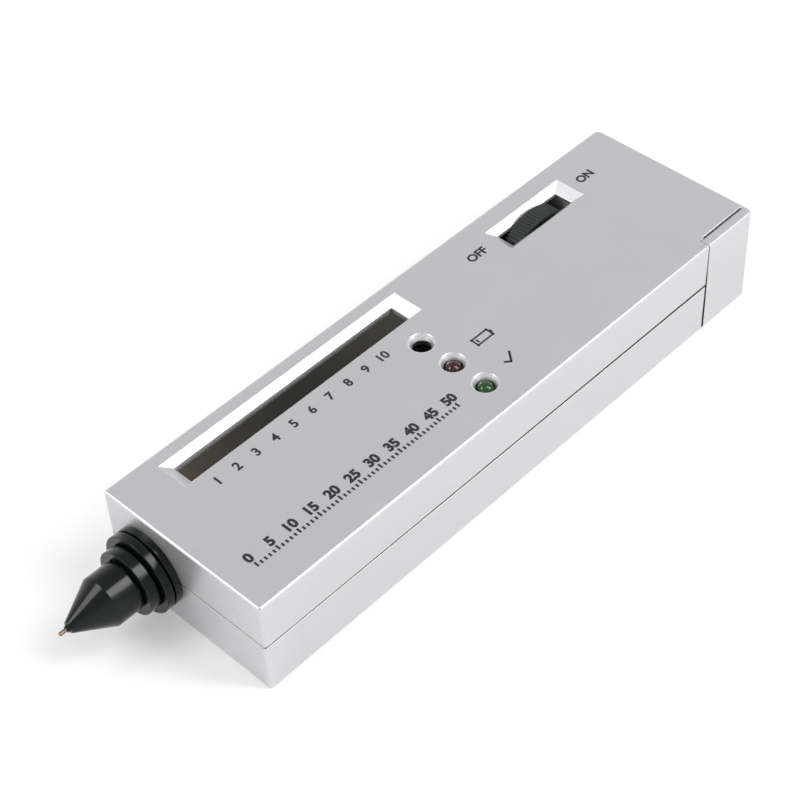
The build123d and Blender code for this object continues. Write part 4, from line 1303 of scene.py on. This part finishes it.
class GEM_TESTER_OT_battery(bpy.types.Operator):
    """Battery with its studs, and the foam that presses on it"""
    bl_idname = "gem_tester.battery"
    bl_label = "Battery"

    corner = 1.5
    corner_steps = 6
    # Sections from either end: place along the battery, inset from its full outline
    end_sections = ((0, 0.9), (0, 0.5), (0.2, 0.3), (0.6, 0.3), (0.6, 0.12), (0.75, 0))
    # Outlines of the studs from their outer ends: along, radius, with the offset of each from the middle
    studs = (
        (-6.35, (
            (2.9, 0), (2.9, 3.3), (2.3, 3.35), (0.6, 3.6), (0.2, 3.55), (0, 3.3), (0.15, 3.05), (0.6, 3.0),
            (2.5, 2.85), (2.5, 0),
        )),
        (6.35, ((2.9, 0), (2.9, 2.7), (2.2, 2.5), (1.1, 2.9), (0.4, 2.9), (0.1, 2.7), (0, 2.3), (0, 0))),
    )
    # The foam's grid, how close to its corners they are drawn in, and the waves of its dents each way
    foam_cuts = 15
    foam_corner = 8
    foam_waves = (9, 7)
    # In parts of its size: its waist, the pull and the drop of its corners, and its dents
    foam_waist = 0.05
    foam_pull = 0.03
    foam_drop = 0.3
    foam_dent = 0.04

    def execute(self, context):
        case = box("battery_case")
        sections = [(case.low.x + along, inset) for along, inset in self.end_sections]
        sections += [(case.high.x - along, inset) for along, inset in reversed(self.end_sections)]
        block = lofted([self.ring(case, x, inset) for x, inset in sections])
        battery = plain_piece("crimped_battery", block)
        attach(battery, "battery_case", materials=[finish(lacquered_battery_jacket)])

        front = box("battery_terminals").low.x
        meshes = []
        for offset, outline in self.studs:
            meshes.append(spun(outline, (front, case.middle.y + offset, case.middle.z), "X", 64))
        nickel = tinted(plated_metal, "nickel")
        attach(combined("snap_studs", meshes), "battery_terminals", materials=[nickel])
        self.foam()
        return {"FINISHED"}

    def ring(self, case, x, inset):
        """Rounded outline across the battery."""
        radius = self.corner - inset
        points = []
        for quarter, (side_y, side_z) in enumerate(((1, 1), (-1, 1), (-1, -1), (1, -1))):
            y = case.middle.y + side_y * (case.size.y / 2 - self.corner)
            z = case.middle.z + side_z * (case.size.z / 2 - self.corner)
            for step in range(self.corner_steps + 1):
                angle = math.pi / 2 * (quarter + step / self.corner_steps)
                points.append((x, y + radius * math.cos(angle), z + radius * math.sin(angle)))
        return points

    def foam(self):
        """Foam pad on the door: flat on its glued side, crowned on the other, and waisted."""
        low, high, middle, size = box("battery_pad")
        shape = bmesh.new()
        bmesh.ops.create_cube(shape, size=2)
        bmesh.ops.subdivide_edges(shape, edges=shape.edges, cuts=self.foam_cuts, use_grid_fill=True)
        wave_y, wave_z = self.foam_waves
        for vertex in shape.verts:
            x, y, z = vertex.co
            free = (1 - x) / 2
            corner = max(abs(y), abs(z)) ** self.foam_corner
            waist_y = 1 - free * (self.foam_waist * (1 - z * z) + self.foam_pull * corner)
            waist_z = 1 - free * (self.foam_waist * (1 - y * y) + self.foam_pull * corner)
            dents = math.sin(wave_y * y) * math.cos(wave_z * z) + 1
            crown = 1 - free * (self.foam_drop * corner + self.foam_dent * dents)
            across = middle.y + size.y / 2 * y * waist_y
            up = middle.z + size.z / 2 * z * waist_z
            vertex.co = Vector((high.x - size.x * free * crown, across, up)) * MM
        foam = plain_piece("foam_pad", mesh_from(shape))
        attach(foam, "battery_pad", "door", [finish(open_cell_foam)])


class GEM_TESTER_OT_inside(bpy.types.Operator):
    """Soft edges and finishes of the other pieces inside the case"""
    bl_idname = "gem_tester.inside"
    bl_label = "Inside"

    # Nodes with the pieces that stand for them: name, slot, rounding, recipe and tint, body
    rounded = {
        "bar_holder": ("bar_frame", "black_matte", 0.12, moulded_plastic, "black", "root"),
        "led_spacers": ("light_stand_offs", "black_matte", 0.1, moulded_plastic, "black", "root"),
        "potentiometer_case": ("potentiometer_body", "black_matte", 0.3, moulded_plastic, "black", "root"),
        "battery_connector": ("snap_cap", "black_matte", 0.5, moulded_plastic, "black", "root"),
        "trimmer": ("blue_trimmer", "trimmer_blue", 0.2, moulded_plastic, "blue", "root"),
        "probe_nut": ("collar_nut", "nickel", 0.25, plated_metal, "nickel", "root"),
        "connector_contacts": ("snap_contacts", "nickel", 0.15, plated_metal, "nickel", "root"),
        "wheel_screw": ("slotted_screw", "steel", 0.12, plated_metal, "zinc", "wheel"),
    }
    # Nodes that stay, with their recipe and tint
    dressed = {
        "wheel_shaft": (plated_metal, "zinc"),
        "potentiometer_pins": (plated_metal, "nickel"),
        "probe_heater": (moulded_plastic, "ceramic"),
        "probe_leads": (pvc_insulation, "white"),
        "battery_lead_black": (pvc_insulation, "black"),
        "battery_lead_red": (pvc_insulation, "red"),
        "switch_leads": (pvc_insulation, "red"),
    }

    def execute(self, context):
        for node_name, (piece_name, slot, width, recipe, tint, body) in self.rounded.items():
            eased_copy(node_name, piece_name, width, [tinted(recipe, tint)], body)
        for node_name, (recipe, tint) in self.dressed.items():
            dress(node_name, tinted(recipe, tint))
        self.spring()
        return {"FINISHED"}

    def spring(self):
        """Coil spring behind the heater, which the pressed pin squeezes towards its seat; here it is left at
        its built length.
        """
        steel = tinted(plated_metal, "zinc")
        coil = eased_copy("probe_spring", "coil_spring", 0, [steel], share=lambda point: 0.0)
        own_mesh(coil)


class GEM_TESTER_OT_stage(bpy.types.Operator):
    """Paper floor, two softboxes, soft surroundings and the camera"""
    bl_idname = "gem_tester.stage"
    bl_label = "Stage"

    # Metres: the floor's side, and for each softbox its direction, distance, width and height
    floor_size = 6.0
    key_box = ((0.33, -0.56, 0.76), 0.72, 0.2, 0.64)
    side_box = ((-0.62, 0.4, 0.68), 0.72, 0.3, 0.3)
    # Heights in the surroundings between which the light goes from that of the walls to the ceiling's
    wall_top = 0.17
    ceiling_foot = 0.65
    # Millimetres and degrees
    camera_place = (-191.788, -185.702, 277.663)
    camera_turn = (44.57141915, 2.41526483, -46.30926515)
    camera_lens = 89.115
    sensor = 36.0
    nearest = 10.0

    def execute(self, context):
        scene = context.scene
        settings = scene.gem_tester_stage
        self.floor()
        self.softbox("key_softbox", self.key_box, settings.key)
        self.softbox("side_softbox", self.side_box, settings.side)
        self.surroundings(settings)
        camera = plain_piece("camera", bpy.data.cameras.new("camera"))
        camera.location = [value * MM for value in self.camera_place]
        camera.rotation_euler = [math.radians(value) for value in self.camera_turn]
        camera.data.lens = self.camera_lens
        camera.data.sensor_width = self.sensor
        camera.data.clip_start = self.nearest * MM
        scene.camera = camera
        scene.view_settings.view_transform = "Standard"
        return {"FINISHED"}

    def floor(self):
        """Sheet of paper that the tester lies on."""
        shape = bmesh.new()
        bmesh.ops.create_grid(shape, x_segments=1, y_segments=1, size=self.floor_size / 2)
        for vertex in shape.verts:
            vertex.co.z = case_low.z * MM
        floor = plain_piece("paper_floor", mesh_from(shape))
        floor.data.materials.append(finish(studio_paper))

    def softbox(self, name, box_sizes, power):
        """Softbox that faces the tester; it lights and mirrors, and the camera doesn't see it."""
        direction, distance, width, height = box_sizes
        lamp = bpy.data.lights.new(name, "AREA")
        lamp.shape = "RECTANGLE"
        lamp.size = width
        lamp.size_y = height
        lamp.energy = power
        holder = plain_piece(name, lamp)
        away = Vector(direction).normalized()
        holder.location = away * distance
        holder.rotation_euler = away.to_track_quat("Z", "Y").to_euler()
        holder.visible_camera = False

    def surroundings(self, settings):
        """Bright at eye level, darker overhead."""
        world = bpy.data.worlds.new("studio")
        world.use_nodes = True
        tree = world.node_tree
        tree.nodes.clear()
        direction = add_node(tree, "ShaderNodeTexCoord").outputs["Generated"]
        height = add_node(tree, "ShaderNodeSeparateXYZ", {"Vector": direction}).outputs["Z"]
        level = {"Value": height, "From Min": self.wall_top, "From Max": self.ceiling_foot}
        level |= {"To Min": settings.walls, "To Max": settings.ceiling}
        level = add_node(tree, "ShaderNodeMapRange", level).outputs["Result"]
        glow = {"Color": linear("#fefeff"), "Strength": level}
        glow = add_node(tree, "ShaderNodeBackground", glow).outputs["Background"]
        add_node(tree, "ShaderNodeOutputWorld", {"Surface": glow})
        bpy.context.scene.world = world


OPERATORS = (
    GEM_TESTER_OT_stage,
    GEM_TESTER_OT_case,
    GEM_TESTER_OT_window,
    GEM_TESTER_OT_probe,
    GEM_TESTER_OT_wheel,
    GEM_TESTER_OT_lights,
    GEM_TESTER_OT_printing,
    GEM_TESTER_OT_screws,
    GEM_TESTER_OT_board,
    GEM_TESTER_OT_battery,
    GEM_TESTER_OT_inside,
)


class GEM_TESTER_PT_panel(bpy.types.Panel):
    """Sizes, colours and builders of the gem tester"""
    bl_label = "Gem Tester"
    bl_idname = "GEM_TESTER_PT_panel"
    bl_space_type = "VIEW_3D"
    bl_region_type = "UI"
    bl_category = "Gem Tester"

    def draw(self, context):
        for name, group in SETTINGS.items():
            area = self.layout.box()
            for label in group.__annotations__:
                area.prop(getattr(context.scene, name), label)
        for operator in OPERATORS:
            self.layout.operator(operator.bl_idname)


def register():
    for name, group in SETTINGS.items():
        bpy.utils.register_class(group)
        setattr(bpy.types.Scene, name, bpy.props.PointerProperty(type=group))
    for operator in OPERATORS:
        bpy.utils.register_class(operator)
    bpy.utils.register_class(GEM_TESTER_PT_panel)


def unregister():
    bpy.utils.unregister_class(GEM_TESTER_PT_panel)
    for operator in reversed(OPERATORS):
        bpy.utils.unregister_class(operator)
    for name, group in reversed(SETTINGS.items()):
        delattr(bpy.types.Scene, name)
        bpy.utils.unregister_class(group)


def main():
    """Build everything in order."""
    register()
    for operator in OPERATORS:
        group, name = operator.bl_idname.split(".")
        getattr(getattr(bpy.ops, group), name)()


if __name__ == "__main__":
    main()
